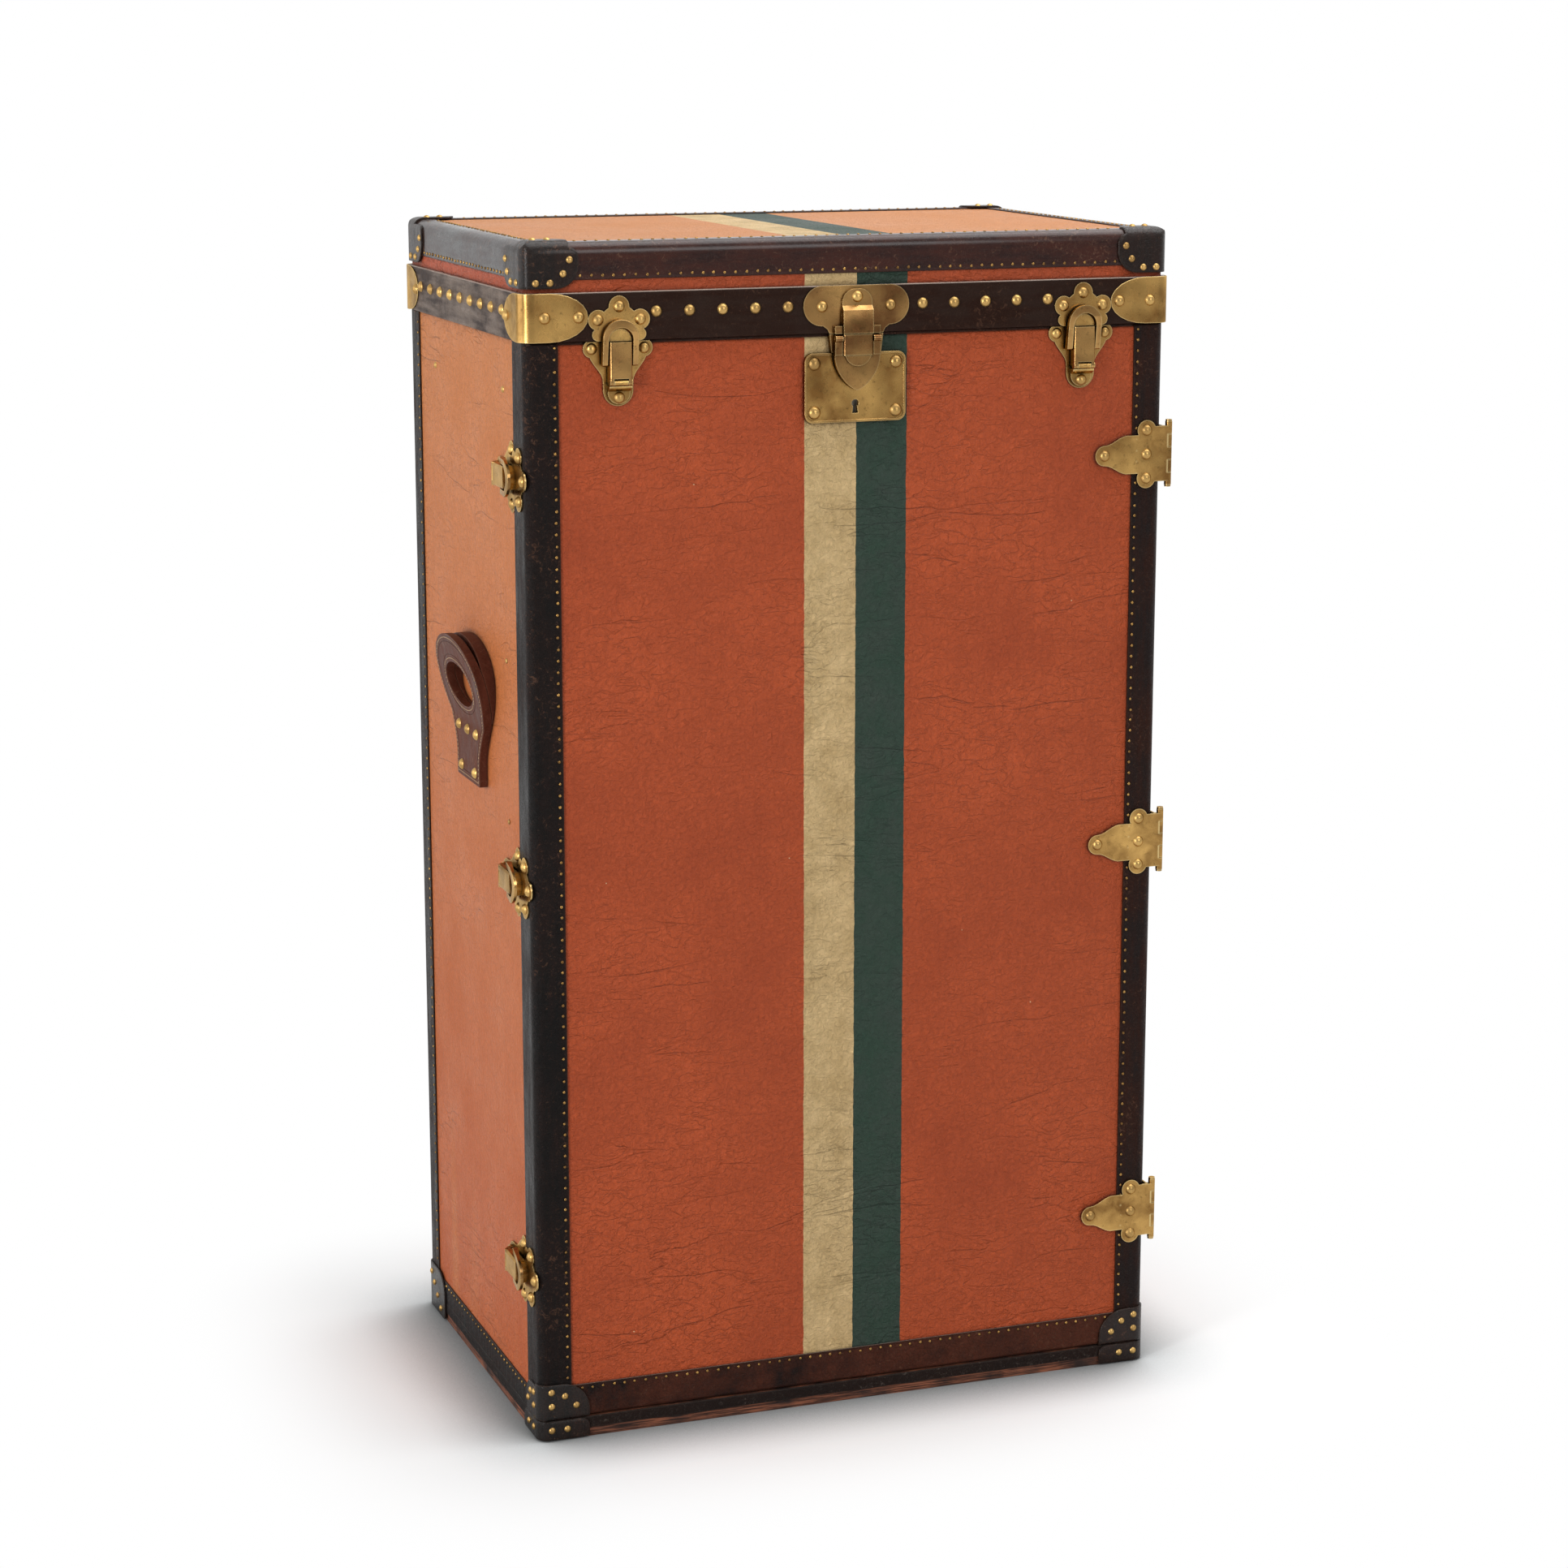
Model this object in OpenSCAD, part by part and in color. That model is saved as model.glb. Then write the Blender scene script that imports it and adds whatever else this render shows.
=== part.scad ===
// Upright cabin trunk: a canvas-covered case with a lid on top, a door in front and brass fittings.
// Lengths are in millimetres. The origin lies on the floor under the middle, +Z is up and the door faces -Y.

/* [Trunk] */
// Width across the leather edges
trunk_w = 620; // [570:5:680]
// Depth from the face of the door to the back
trunk_d = 400; // [350:5:460]
// Height from the floor to the top of the lid
trunk_h = 1110; // [1060:5:1180]
// Depth of the door
door_d = 39; // [34:1:46]
// Height of the lid
lid_h = 87; // [84:1:100]
// Radius of the leather-bound edges
edge_r = 10; // [8:0.5:12]
// Gap where the door and the lid meet the case
seam_gap = 0.6; // [0.5:0.1:1]

/* [Boards and skins] */
// Thickness of the boards of the case
case_board = 8; // [7:0.5:10]
// Thickness of the boards of the door and the lid
cover_board = 7; // [5:0.5:7]
// Thickness of the painted canvas
canvas_t = 1; // [0.8:0.1:1.2]
// Thickness of the leather binding
leather_t = 1.5; // [1.2:0.1:2]
// Thickness of the cloth lining
lining_t = 1; // [0.6:0.1:1.2]

/* [Leather strips] */
// Width of the upright strips on the face of the door
door_strip = 31; // [26:1:36]
// Width of the strip along the foot of the door
door_foot_strip = 32; // [26:1:40]
// Width of the strips along the back edges of the case
back_strip = 35; // [28:1:42]
// Height of the strip round the foot of the case
foot_strip = 22; // [16:1:30]
// Height of the strip round the top of the lid, on its sides
lid_side_strip = 33; // [28:1:36]
// Width of the strip round the top of the lid, on its upper face
lid_top_strip = 20; // [15:1:26]

/* [Belt of the lid] */
// Height of the belt
belt_h = 43; // [41:1:46]
// How far the belt stands out past the leather edges
belt_proud = 3; // [2.5:0.25:4]
// Thickness of the brass corner clamps on the belt
clamp_t = 1.2; // [1:0.1:1.6]
// Reach of a clamp along the front and the back
clamp_reach_x = 61; // [50:1:66]
// Reach of a clamp along the sides
clamp_reach_y = 52; // [44:1:60]
// Pitch of the rivets along the front of the belt
belt_pitch_x = 31; // [28:0.5:34]
// Pitch of the rivets along the sides of the belt
belt_pitch_y = 35.5; // [32:0.5:40]

/* [Base] */
// Thickness of the wooden board that the trunk stands on
wear_board = 9; // [7:1:12]
// Height of the leather-bound plinth on top of that board
plinth_h = 11; // [9:1:14]
// How far the wear board is set back from the leather edges
wear_inset = 1.5; // [1:0.5:3]

/* [Leather corner caps] */
// Thickness of the caps
cap_t = 1.8; // [1.4:0.1:2.4]
// Reach of the lid caps along the front and the back
lid_cap_x = 50; // [44:1:56]
// Reach of the lid caps along the sides
lid_cap_y = 57; // [50:1:62]
// Height of the lid caps down from the top
lid_cap_h = 40; // [36:1:42]
// Reach of the lid caps over the upper face
lid_cap_top = 25; // [22:1:30]
// Reach of the foot caps along the front
foot_cap_x = 48; // [42:1:54]
// Height of the foot caps of the door
foot_cap_h = 35; // [31:1:40]
// Reach of the rear foot caps along the sides
rear_cap_y = 62; // [54:1:70]
// Height of the rear foot caps on the case
rear_cap_h = 28; // [24:1:34]

/* [Nails and rivets] */
// Radius of the domed rivets
rivet_r = 5.2; // [4.6:0.1:5.5]
// Height of their domes
rivet_h = 3.4; // [2.8:0.1:3.8]
// Radius of the domed nails of the leather caps
nail_r = 3.2; // [2.8:0.1:3.6]
// Height of the domes of those nails
nail_h = 1.8; // [1.4:0.1:2.2]
// Distance of the nails in the side canvas below the lid
canvas_nail_drop = 47; // [40:1:60]
// Distance of the front one from the door
canvas_nail_front = 36; // [20:1:44]
// Distance of the back one from the back
canvas_nail_back = 90; // [70:1:110]

/* [Toggle latches] */
// Distance of the front latches from the sides of the trunk
front_latch_inset = 86; // [82:1:96]
// Thickness of the latch plates
plate_t = 1.5; // [1.2:0.1:2]
// Width of a lever
lever_w = 21; // [20:0.5:22]
// Thickness of the walls of a lever
lever_wall = 2; // [1.8:0.1:2.4]
// Height of the top of a lever above the canvas
lever_top = 12; // [11.5:0.5:13]
// Distance from the seam to the hinge of a lever
lever_reach = 36; // [34:0.5:38]
// Radius of the lever's knuckles
knuckle_r = 3; // [2.8:0.1:3.2]
// Radius of the latch pins
latch_pin_r = 1.2; // [1:0.1:1.4]
// Width of the arms of a loop
loop_arm = 5.2; // [4.6:0.1:5.4]
// Height of a loop's bar
loop_bar = 3.2; // [2.8:0.1:3.6]
// Distance from the seam to the pivot of a loop
loop_pivot = 19; // [18:0.5:20]
// Height of the pivot of a loop above the canvas
loop_pivot_rise = 6.4; // [6:0.1:6.6]
// Radius of the trunnions of a loop
trunnion_r = 1.5; // [1.2:0.1:1.7]
// Radius of the D-shaped hook
hook_r = 10.8; // [10:0.1:11]
// Height of the top of the hook above the canvas
hook_top = 8.6; // [8.2:0.1:9]
// Height of the top rivet of a catch above the seam
catch_top = 30.5; // [30:0.5:32]
// Distance of the side rivets of a catch from its middle
catch_ear_x = 19.5; // [19:0.5:21]
// Height of those rivets above the seam
catch_ear_y = 19; // [18:0.5:20]
// Distance of the side rivets of a latch plate from its middle
base_ear_x = 24.3; // [24:0.1:26]
// Distance of those rivets from the seam
base_ear_y = 6.5; // [6.5:0.1:8]
// Air between the hook and the loop's arms
hook_air = 0.5; // [0.4:0.1:0.8]
// Air between the hook and the loop's arch above it
arch_air = 1.2; // [1.1:0.1:1.5]

/* [Door hinges] */
// Distance of the top hinge and latch below the lid
fitting_drop = 122; // [100:1:150]
// Distance of the bottom hinge and latch above the foot of the door
fitting_rise = 136.5; // [110:0.5:160]
// Thickness of the hinge leaves
leaf_t = 1.8; // [1.5:0.1:2.2]
// Radius of the hinge barrels
barrel_r = 3.3; // [3:0.1:3.6]
// Length of the door hinge barrels
barrel_l = 60; // [56:1:64]
// Radius of the hinge pins
hinge_pin_r = 1.6; // [1.4:0.1:1.8]
// Distance from the side of the trunk to the far rivet of a front leaf
leaf_reach = 60; // [54:1:64]
// Distance from the side of the trunk to the column of three rivets
leaf_column = 17; // [16.5:0.5:19]
// How far the ears of the leaves stand past the ends of the barrel
leaf_ear = 2; // [1.5:0.5:4]
// Distance from the seam to the end of a side leaf
side_leaf_reach = 62; // [56:1:70]

/* [Lid hinges] */
// Distance of the outer lid hinges from the middle one
lid_hinge_spacing = 205; // [180:5:210]
// Width of the lid hinges
lid_hinge_w = 52; // [46:1:60]

/* [Lock and hasp] */
// Width of the lock plate
lock_w = 98; // [92:1:104]
// Height of the lock plate
lock_h = 63; // [60:1:68]
// Thickness of the lock plate
lock_t = 3.5; // [3:0.25:4]
// Distance of the lock plate below the lid
lock_drop = 17; // [16:0.5:19]
// Radius of the domed rivets of the lock plate
lock_rivet_r = 6; // [5.5:0.1:6.2]
// Radius of the round top of the keyhole
keyhole_r = 3.3; // [2.8:0.1:3.6]
// Width of the strap in the middle of the hasp
strap_w = 29; // [27:0.5:30]
// Height of the strap above the leather edges
strap_top = 11; // [10.5:0.5:12]
// Width of the hasp across its wings
hasp_w = 44; // [42:0.5:46]
// Length of the tongue below the strap
tongue_l = 32; // [30:0.5:35]
// Radius of the hasp's hinge pin
hasp_pin_r = 1.3; // [1.1:0.1:1.4]
// Half the distance between the lobes of the hasp plate
hasp_lobe_x = 33; // [31:0.5:35]

/* [Handles] */
// Height of the foot of a handle above the floor
handle_z = 596; // [560:2:630]
// Distance of a handle from the middle of the side, towards the door
handle_shift = 12; // [0:1:20]
// Width of the riveted tab
handle_tab_w = 78; // [72:1:84]
// Height of the tab up to the bend
handle_tab_h = 58; // [56:1:64]
// Height above the foot of the tab where it starts to widen
handle_flare = 14; // [10:1:20]
// Distance from the bend to the middle of the ring
handle_ring_rise = 41; // [38:1:46]
// Half the height of the oval ring
handle_ring_y = 41; // [38:1:43]
// Half the width of the ring
handle_ring_x = 72; // [68:1:76]
// Half the height of the oval hand hole
handle_hole_y = 20.5; // [19:0.5:22]
// Half the width of the hand hole
handle_hole_x = 43.5; // [40:0.5:46]
// Distance of the hand hole below the middle of the ring
handle_hole_drop = 6.5; // [5:0.5:8]
// Thickness of the leather
handle_t = 8; // [6:0.5:9]
// Thickness of the pad behind the ring
handle_pad_t = 12; // [10:0.5:13]
// Distance of the pressed lines from the edges of the leather
handle_line_in = 7; // [6:0.5:8]
// Width of those lines
handle_line_w = 0.8; // [0.6:0.1:1]
// Depth of those lines
handle_line_deep = 0.5; // [0.3:0.1:0.8]
// Lean of the ring away from the wall
handle_lean = 12; // [10:0.5:15]

/* [Inside] */
// Thickness of the wooden lips
lip_t = 5; // [4:0.5:6]
// How far the lips stand out of the case
lip_out = 14; // [10:1:16]
// Air between a lip and the cover that closes over it
lip_air = 1; // [0.8:0.1:1.5]
// Radius of the hanging rail
rail_r = 7; // [6:0.5:9]
// Distance of the rail below the lid
rail_drop = 60; // [58:1:70]
// Height of the plates that hold the crossbar
socket_h = 48; // [40:1:50]
// Width of those plates
socket_w = 28; // [24:1:30]

/* [Clearances] */
// Radial air round a pin that turns
pin_air = 0.05; // [0.03:0.01:0.08]
// Air between brass pieces that pass each other
brass_air = 0.3; // [0.25:0.05:0.4]

/* [Hidden] */
$fn = 48;

BRASS = "#a8843f";
CANVAS = "#b9552f";
BLACK_LEATHER = "#2a2422";
BROWN_LEATHER = "#45251b";
WOOD = "#6b4a33";
CLOTH = "#b9a98a";
STEEL = "#8d8f92";

// A length past every face that a cut runs through
past = 20;

half_w = trunk_w / 2;
half_d = trunk_d / 2;
half_gap = seam_gap / 2;
lid_seam = trunk_h - lid_h;
base_top = wear_board + plinth_h;
seam_y = door_d - half_d;
case_y0 = seam_y + half_gap;
door_y1 = seam_y - half_gap;
case_z1 = lid_seam - half_gap;
lid_z0 = lid_seam + half_gap;
door_z0 = base_top + seam_gap;
door_z1 = lid_seam - half_gap;

// Depths below the leather edges of the canvas, the boards, and the hollows of the case and its covers
canvas_in = leather_t;
board_in = canvas_in + canvas_t;
case_in = board_in + case_board;
case_clear = case_in + lining_t;
cover_in = board_in + cover_board;
cover_clear = cover_in + lining_t;

// Heights of the door's three hinges and its three latches
fitting_z = [lid_seam - fitting_drop,
  (lid_seam - fitting_drop + base_top + fitting_rise) / 2,
  base_top + fitting_rise];
front_latch_x = half_w - front_latch_inset;

// The hinge line of the door and that of the lid
door_axis_x = half_w + barrel_r + 3.7;
door_axis_y = barrel_r - leaf_t - half_d;
lid_axis_y = half_d + belt_proud + barrel_r + brass_air;

// Latch: the lever's hinge, the catch plate's heights above the canvas and the loop's arch
lever_axis_rise = lever_top - knuckle_r;
mid_knuckle = 13;
arch_low = hook_top + arch_air;
arm_in = hook_r + hook_air;
arm_out = arm_in + loop_arm;
front_catch_rise = canvas_in + belt_proud;
side_catch_rise = canvas_in;

// Hasp: its hinge line, and the heights of its pieces above the leather edges
plate_top = belt_proud + plate_t;
hasp_knuckle_r = 3.2;
hasp_axis_rise = plate_top + hasp_knuckle_r + brass_air;
hasp_axis_z = door_z1 - hasp_knuckle_r - 0.5;
strap_foot = lid_seam - lock_drop - 2;
tongue_t = 3;
tongue_low = plate_top + brass_air;
lock_top = lid_seam - lock_drop;

// Frames on the five faces: x runs along the face, y up, z outwards, and `rise` lifts them off the leather
module on_front(rise) {
  translate([0, -half_d - rise, 0]) rotate([90, 0, 0]) children();
}

// Here x runs towards the door
module on_left(rise) {
  translate([-half_w - rise, 0, 0]) rotate([90, 0, -90]) children();
}

module on_right(rise) {
  mirror([1, 0, 0]) on_left(rise) children();
}

// Here x runs towards the left side
module on_back(rise) {
  translate([0, half_d + rise, 0]) rotate([90, 0, 180]) children();
}

module both_sides() {
  children();
  mirror([1, 0, 0]) children();
}

module four_corners() {
  both_sides() {
    children();
    mirror([0, 1, 0]) children();
  }
}

// Rectangle with its own corner radii: lower left, lower right, upper right, upper left
module round_rect(low, high, radii) {
  corners = [low, [high.x, low.y], high, [low.x, high.y]];
  inward = [[1, 1], [-1, 1], [-1, -1], [1, -1]];
  difference() {
    translate(low) square(high - low);
    for (i = [0:3]) if (radii[i] > 0) difference() {
      translate(corners[i] + inward[i] * (radii[i] / 2 - 0.5)) square(radii[i] + 1, center = true);
      translate(corners[i] + inward[i] * radii[i]) circle(radii[i]);
    }
  }
}

// Block with rounded edges: radii seen from above, from the front and from the right side
module soft_block(low, high, plan, front, side) {
  size = high - low;
  intersection() {
    translate([0, 0, low.z]) linear_extrude(size.z) {
      round_rect([low.x, low.y], [high.x, high.y], plan);
    }
    if (max(front) > 0) translate([0, high.y, 0]) rotate([90, 0, 0]) linear_extrude(size.y) {
      round_rect([low.x, low.z], [high.x, high.z], front);
    }
    if (max(side) > 0) translate([low.x, 0, 0]) rotate([90, 0, 90]) linear_extrude(size.x) {
      round_rect([low.y, low.z], [high.y, high.z], side);
    }
  }
}

// The outer form of each body, drawn in by `inset` on its bound faces
module case_block(inset) {
  r = edge_r - inset;
  soft_block([inset - half_w, case_y0, base_top], [half_w - inset, half_d - inset, case_z1],
    [0, 0, r, r], [0, 0, 0, 0], [0, 0, 0, 0]);
}

module door_block(inset) {
  r = edge_r - inset;
  soft_block([inset - half_w, inset - half_d, door_z0 + inset], [half_w - inset, door_y1, door_z1 - inset],
    [r, r, 0, 0], [0, 0, 0, 0], [r / 2, 0, 0, r / 3]);
}

module lid_block(inset) {
  r = edge_r - inset;
  soft_block([inset - half_w, inset - half_d, lid_z0], [half_w - inset, half_d - inset, trunk_h - inset],
    [r, r, r, r], [0, 0, r, r], [0, 0, r, r]);
}

module base_block(inset, low, high) {
  r = edge_r - inset;
  soft_block([inset - half_w, inset - half_d, low], [half_w - inset, half_d - inset, high],
    [r, r, r, r], [0, 0, 0, 0], [0, 0, 0, 0]);
}

// Plain box between two corners
module span(low, high) {
  translate(low) cube(high - low);
}

// Domed head that stands on z = 0
module dome(r, h) {
  ball = (r * r + h * h) / (2 * h);
  intersection() {
    translate([0, 0, h - ball]) sphere(ball);
    cylinder(r = r + 1, h = h + 1);
  }
}

module rivets(places) {
  for (p = places) translate(p) dome(rivet_r, rivet_h);
}

module nails(places) {
  for (p = places) translate(p) dome(nail_r, nail_h);
}

// Points of a smooth S from one height to another, for outlines that narrow in a curve
function sweep(x0, x1, y0, y1, steps = 8) = [for (i = [0:steps])
  [x0 + (x1 - x0) * i / steps, y0 + (y1 - y0) * (1 - cos(180 * i / steps)) / 2]];
function mirrored(points) = [for (i = [len(points) - 1:-1:0]) [points[i].x, -points[i].y]];

// Base

module wear_board() {
  color(WOOD) base_block(wear_inset, 0, wear_board);
}

module plinth() {
  color(WOOD) base_block(leather_t, wear_board, base_top);
}

module plinth_band() {
  color(BLACK_LEATHER) difference() {
    base_block(0, wear_board, base_top);
    base_block(leather_t, wear_board - 1, base_top + 1);
  }
}

// The front caps wrap the plinth, the rear ones reach up the case as well
module front_foot_cap() {
  low = 1;
  difference() {
    intersection() {
      base_block(-cap_t, low, base_top);
      union() {
        on_front(0) linear_extrude(2 * edge_r, center = true) {
          round_rect([-half_w - past, low], [foot_cap_x - half_w, base_top], [0, 3, 8, 0]);
        }
        on_left(0) linear_extrude(2 * edge_r, center = true) {
          round_rect([half_d - foot_cap_x, low], [half_d + past, base_top], [3, 0, 0, 8]);
        }
      }
    }
    base_block(0, low - 1, base_top + 1);
  }
}

module rear_foot_cap() {
  low = 1;
  high = base_top + rear_cap_h;
  difference() {
    intersection() {
      base_block(-cap_t, low, high);
      union() {
        on_back(0) linear_extrude(2 * edge_r, center = true) {
          round_rect([half_w - foot_cap_x, low], [half_w + past, high], [3, 0, 0, 20]);
        }
        on_left(0) linear_extrude(2 * edge_r, center = true) {
          round_rect([-half_d - past, low], [rear_cap_y - half_d, high], [0, 6, 24, 0]);
        }
      }
    }
    base_block(0, low - 1, high + 1);
  }
}

module foot_caps() {
  color(BLACK_LEATHER) both_sides() {
    front_foot_cap();
    rear_foot_cap();
  }
}

// Case

module case_shell() {
  color(WOOD) difference() {
    case_block(board_in);
    span([case_in - half_w, case_y0 - past, base_top + case_board],
      [half_w - case_in, half_d - case_in, case_z1 + past]);
  }
}

module case_canvas() {
  color(CANVAS) difference() {
    case_block(canvas_in);
    case_block_core(board_in);
  }
}

// The case's form drawn past its open ends, to cut skins from
module case_block_core(inset) {
  r = edge_r - inset;
  soft_block([inset - half_w, case_y0 - past, base_top - past],
    [half_w - inset, half_d - inset, case_z1 + past],
    [0, 0, r, r], [0, 0, 0, 0], [0, 0, 0, 0]);
}

module case_binding() {
  color(BLACK_LEATHER) difference() {
    case_block(0);
    case_block_core(canvas_in);
    // Bare canvas on the sides and on the back
    span([-half_w - past, case_y0 - past, base_top + foot_strip],
      [half_w + past, half_d - back_strip, case_z1 + past]);
    span([back_strip - half_w, 0, base_top + foot_strip],
      [half_w - back_strip, half_d + past, case_z1 + past]);
  }
}

module case_lining() {
  floor_z = base_top + case_board;
  color(CLOTH) difference() {
    span([case_in - half_w, case_y0 + 1, floor_z], [half_w - case_in, half_d - case_in, case_z1 - 1]);
    span([case_clear - half_w, case_y0 - past, floor_z + lining_t],
      [half_w - case_clear, half_d - case_clear, case_z1 + past]);
  }
}

// A lip beside the door's free edge and one along each side under the lid
module closing_lips() {
  lip_x = max(case_clear, cover_clear + lip_air) - half_w;
  foot = base_top + case_board + lining_t;
  color(WOOD) {
    span([lip_x, case_y0 - lip_out, foot + past], [lip_x + lip_t, case_y0 + 24, case_z1 - 45]);
    both_sides() span([lip_x, case_y0 + 34, case_z1 - 30], [lip_x + lip_t, half_d - 30, lid_seam + lip_out]);
  }
}

// Hanging rail from the back wall to a bar across the front

rail_z = lid_seam - rail_drop;
crossbar_y = case_y0 + 52;
crossbar_h = 22;
crossbar_t = 5;
socket_t = 4;

module hanging_rail() {
  color(STEEL) translate([0, crossbar_y + crossbar_t, rail_z]) rotate([-90, 0, 0]) {
    cylinder(r = rail_r, h = half_d - case_clear - socket_t - crossbar_y - crossbar_t);
  }
}

module rail_crossbar() {
  reach = half_w - case_clear - socket_t;
  color(STEEL) span([-reach, crossbar_y, rail_z - crossbar_h / 2],
    [reach, crossbar_y + crossbar_t, rail_z + crossbar_h / 2]);
}

// A flange at each end of the crossbar and one behind the rail
module rail_sockets() {
  reach = half_w - case_clear;
  color(STEEL) {
    both_sides() translate([-reach, crossbar_y + crossbar_t / 2, rail_z]) rotate([0, 90, 0]) {
      linear_extrude(socket_t) {
        round_rect([-socket_h / 2, -socket_w / 2], [socket_h / 2, socket_w / 2], [8, 8, 8, 8]);
      }
    }
    translate([0, half_d - case_clear, rail_z]) rotate([90, 0, 0]) cylinder(r = rail_r + 12, h = socket_t);
  }
}

// Handles

// Outline of a handle with y = 0 at the bend: a tab that widens in a smooth curve into the oval ring
module handle_outline(inset) {
  foot = inset - handle_tab_h;
  half = handle_tab_w / 2 - inset;
  ring = handle_ring_x - inset;
  start = handle_flare - handle_tab_h;
  side = concat([[foot, half - 1.5], [foot + 1.5, half], [start, half]],
    sweep(start + 4, handle_ring_rise - 6, half, ring, 12),
    [for (t = [0:6:84]) [handle_ring_rise + (handle_ring_y - inset) * sin(t), ring * cos(t)]]);
  difference() {
    polygon([for (p = concat(side, [[handle_ring_rise + handle_ring_y - inset, 0]], mirrored(side))) [p.y, p.x]]);
    translate([0, handle_ring_rise - handle_hole_drop]) polygon([for (t = [3:6:357])
      [(handle_hole_x + inset) * cos(t), (handle_hole_y + inset) * sin(t)]]);
  }
}

// A strip that lies flat below the bend and leans away from the wall above it, between two of its depths
module bent_strip(low, high) {
  reach = handle_ring_rise + 2 * handle_ring_y;
  back = reach * [cos(handle_lean), sin(handle_lean)];
  out = [-sin(handle_lean), cos(handle_lean)];
  turn = tan(handle_lean / 2);
  rotate([90, 0, 90]) linear_extrude(4 * reach, center = true) polygon([[-2 * handle_tab_h, low],
    [-low * turn, low], back + low * out, back + high * out, [-high * turn, high], [-2 * handle_tab_h, high]]);
}

module pressed_line(inset) {
  difference() {
    handle_outline(inset);
    handle_outline(inset + handle_line_w);
  }
}

// The outline cut from a bent strip, with a line pressed into its face along every edge
module handle_form() {
  deep = 2 * handle_ring_y;
  difference() {
    intersection() {
      linear_extrude(deep) handle_outline(0);
      bent_strip(0, handle_t);
    }
    intersection() {
      linear_extrude(deep) pressed_line(handle_line_in);
      bent_strip(handle_t - handle_line_deep, handle_t + 1);
    }
  }
}

module handle_seat() {
  on_left(-canvas_in) translate([handle_shift, handle_z + handle_tab_h, 0]) children();
}

module handle_left() {
  color(BROWN_LEATHER) handle_seat() handle_form();
}

module handle_right() {
  color(BROWN_LEATHER) mirror([1, 0, 0]) handle_seat() handle_form();
}

// The pad lies on the canvas and thins out to the bend, under the leaning ring
module handle_pads() {
  start = 6;
  color(BROWN_LEATHER) both_sides() handle_seat() difference() {
    linear_extrude(handle_pad_t) intersection() {
      handle_outline(0);
      translate([-100, start]) square([200, 200]);
    }
    rotate([handle_lean, 0, 0]) span([-100, -past, -brass_air], [100, 200, 100]);
  }
}

handle_rivet_places = [for (x = [-30, 0, 30]) [x, -9], for (x = [-23, 23]) [x, 11 - handle_tab_h]];

// Door hinges

leaf_lobe = 9.5;
leaf_spread = barrel_l / 2 + leaf_ear - leaf_lobe;
leaf_half = leaf_spread - leaf_lobe / 2 + 0.25;
side_leaf_column = 16;

// Front leaf in the frame of the door's face: the side of the trunk is at x = 0 and the hinge runs along y
module front_leaf_outline() {
  far = -leaf_reach;
  neck = sweep(far, -leaf_column - 20, leaf_lobe, leaf_half, 6);
  web = barrel_l / 2 - 4;
  translate([far, 0]) circle(leaf_lobe);
  polygon(concat(neck, mirrored(neck)));
  translate([-leaf_column - 22, -leaf_half]) square([24, 2 * leaf_half]);
  for (y = [-leaf_spread, leaf_spread]) translate([-leaf_column, y]) circle(leaf_lobe);
  translate([-leaf_column, -web]) square([leaf_column + door_axis_x - half_w, 2 * web]);
}

// Side leaf: x = 0 is the seam, positive x lies on the case
module side_leaf_outline() {
  far = side_leaf_reach - leaf_lobe;
  neck = sweep(side_leaf_column + 4, far, leaf_half, leaf_lobe, 6);
  web = barrel_l / 2 - 4;
  polygon(concat(neck, mirrored(neck)));
  translate([far, 0]) circle(leaf_lobe);
  translate([2 - door_d, -web]) square([door_d + side_leaf_column + 2, 2 * web]);
  for (y = [-leaf_spread, leaf_spread]) translate([side_leaf_column, y]) circle(leaf_lobe);
}

// The stretches of the barrel along its axis: the door has the odd knuckles, the case the even ones
knuckle_l = barrel_l / 5;

module knuckles(first) {
  for (i = [first:2:4]) translate([0, 0, i * knuckle_l - barrel_l / 2 + brass_air / 2]) {
    cylinder(r = barrel_r, h = knuckle_l - brass_air);
  }
}

// Cuts the webs of the other leaf's knuckles out of a leaf, with room to turn
module knuckle_gaps(first) {
  for (i = [first:2:4]) translate([0, 0, i * knuckle_l - barrel_l / 2 - brass_air / 2]) {
    cylinder(r = barrel_r + brass_air, h = knuckle_l + brass_air);
  }
}

module front_hinge_leaves() {
  color(BRASS) for (z = fitting_z) difference() {
    union() {
      translate([half_w, -half_d, z]) rotate([90, 0, 0]) linear_extrude(leaf_t) front_leaf_outline();
      translate([door_axis_x, door_axis_y, z]) knuckles(0);
    }
    translate([door_axis_x, door_axis_y, z]) {
      knuckle_gaps(1);
      cylinder(r = hinge_pin_r + pin_air, h = barrel_l + past, center = true);
    }
  }
}

// The side leaf stands off the door by a little air and is packed out on the case by the same height
module side_hinge_leaves() {
  air = 0.4;
  web_l = door_axis_x - half_w - air;
  color(BRASS) for (z = fitting_z) difference() {
    union() {
      translate([half_w + air, seam_y, z]) rotate([90, 0, 90]) linear_extrude(leaf_t) side_leaf_outline();
      translate([half_w - canvas_in, seam_y, z]) rotate([90, 0, 90]) linear_extrude(canvas_in + air) {
        intersection() {
          side_leaf_outline();
          translate([4, -50]) square([100, 100]);
        }
      }
      translate([half_w + air, door_axis_y - 0.6, z - barrel_l / 2 + 4]) cube([web_l, 2.2, barrel_l - 8]);
      translate([door_axis_x, door_axis_y, z]) knuckles(1);
    }
    translate([door_axis_x, door_axis_y, z]) {
      knuckle_gaps(0);
      cylinder(r = hinge_pin_r + pin_air, h = barrel_l + past, center = true);
    }
  }
}

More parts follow.
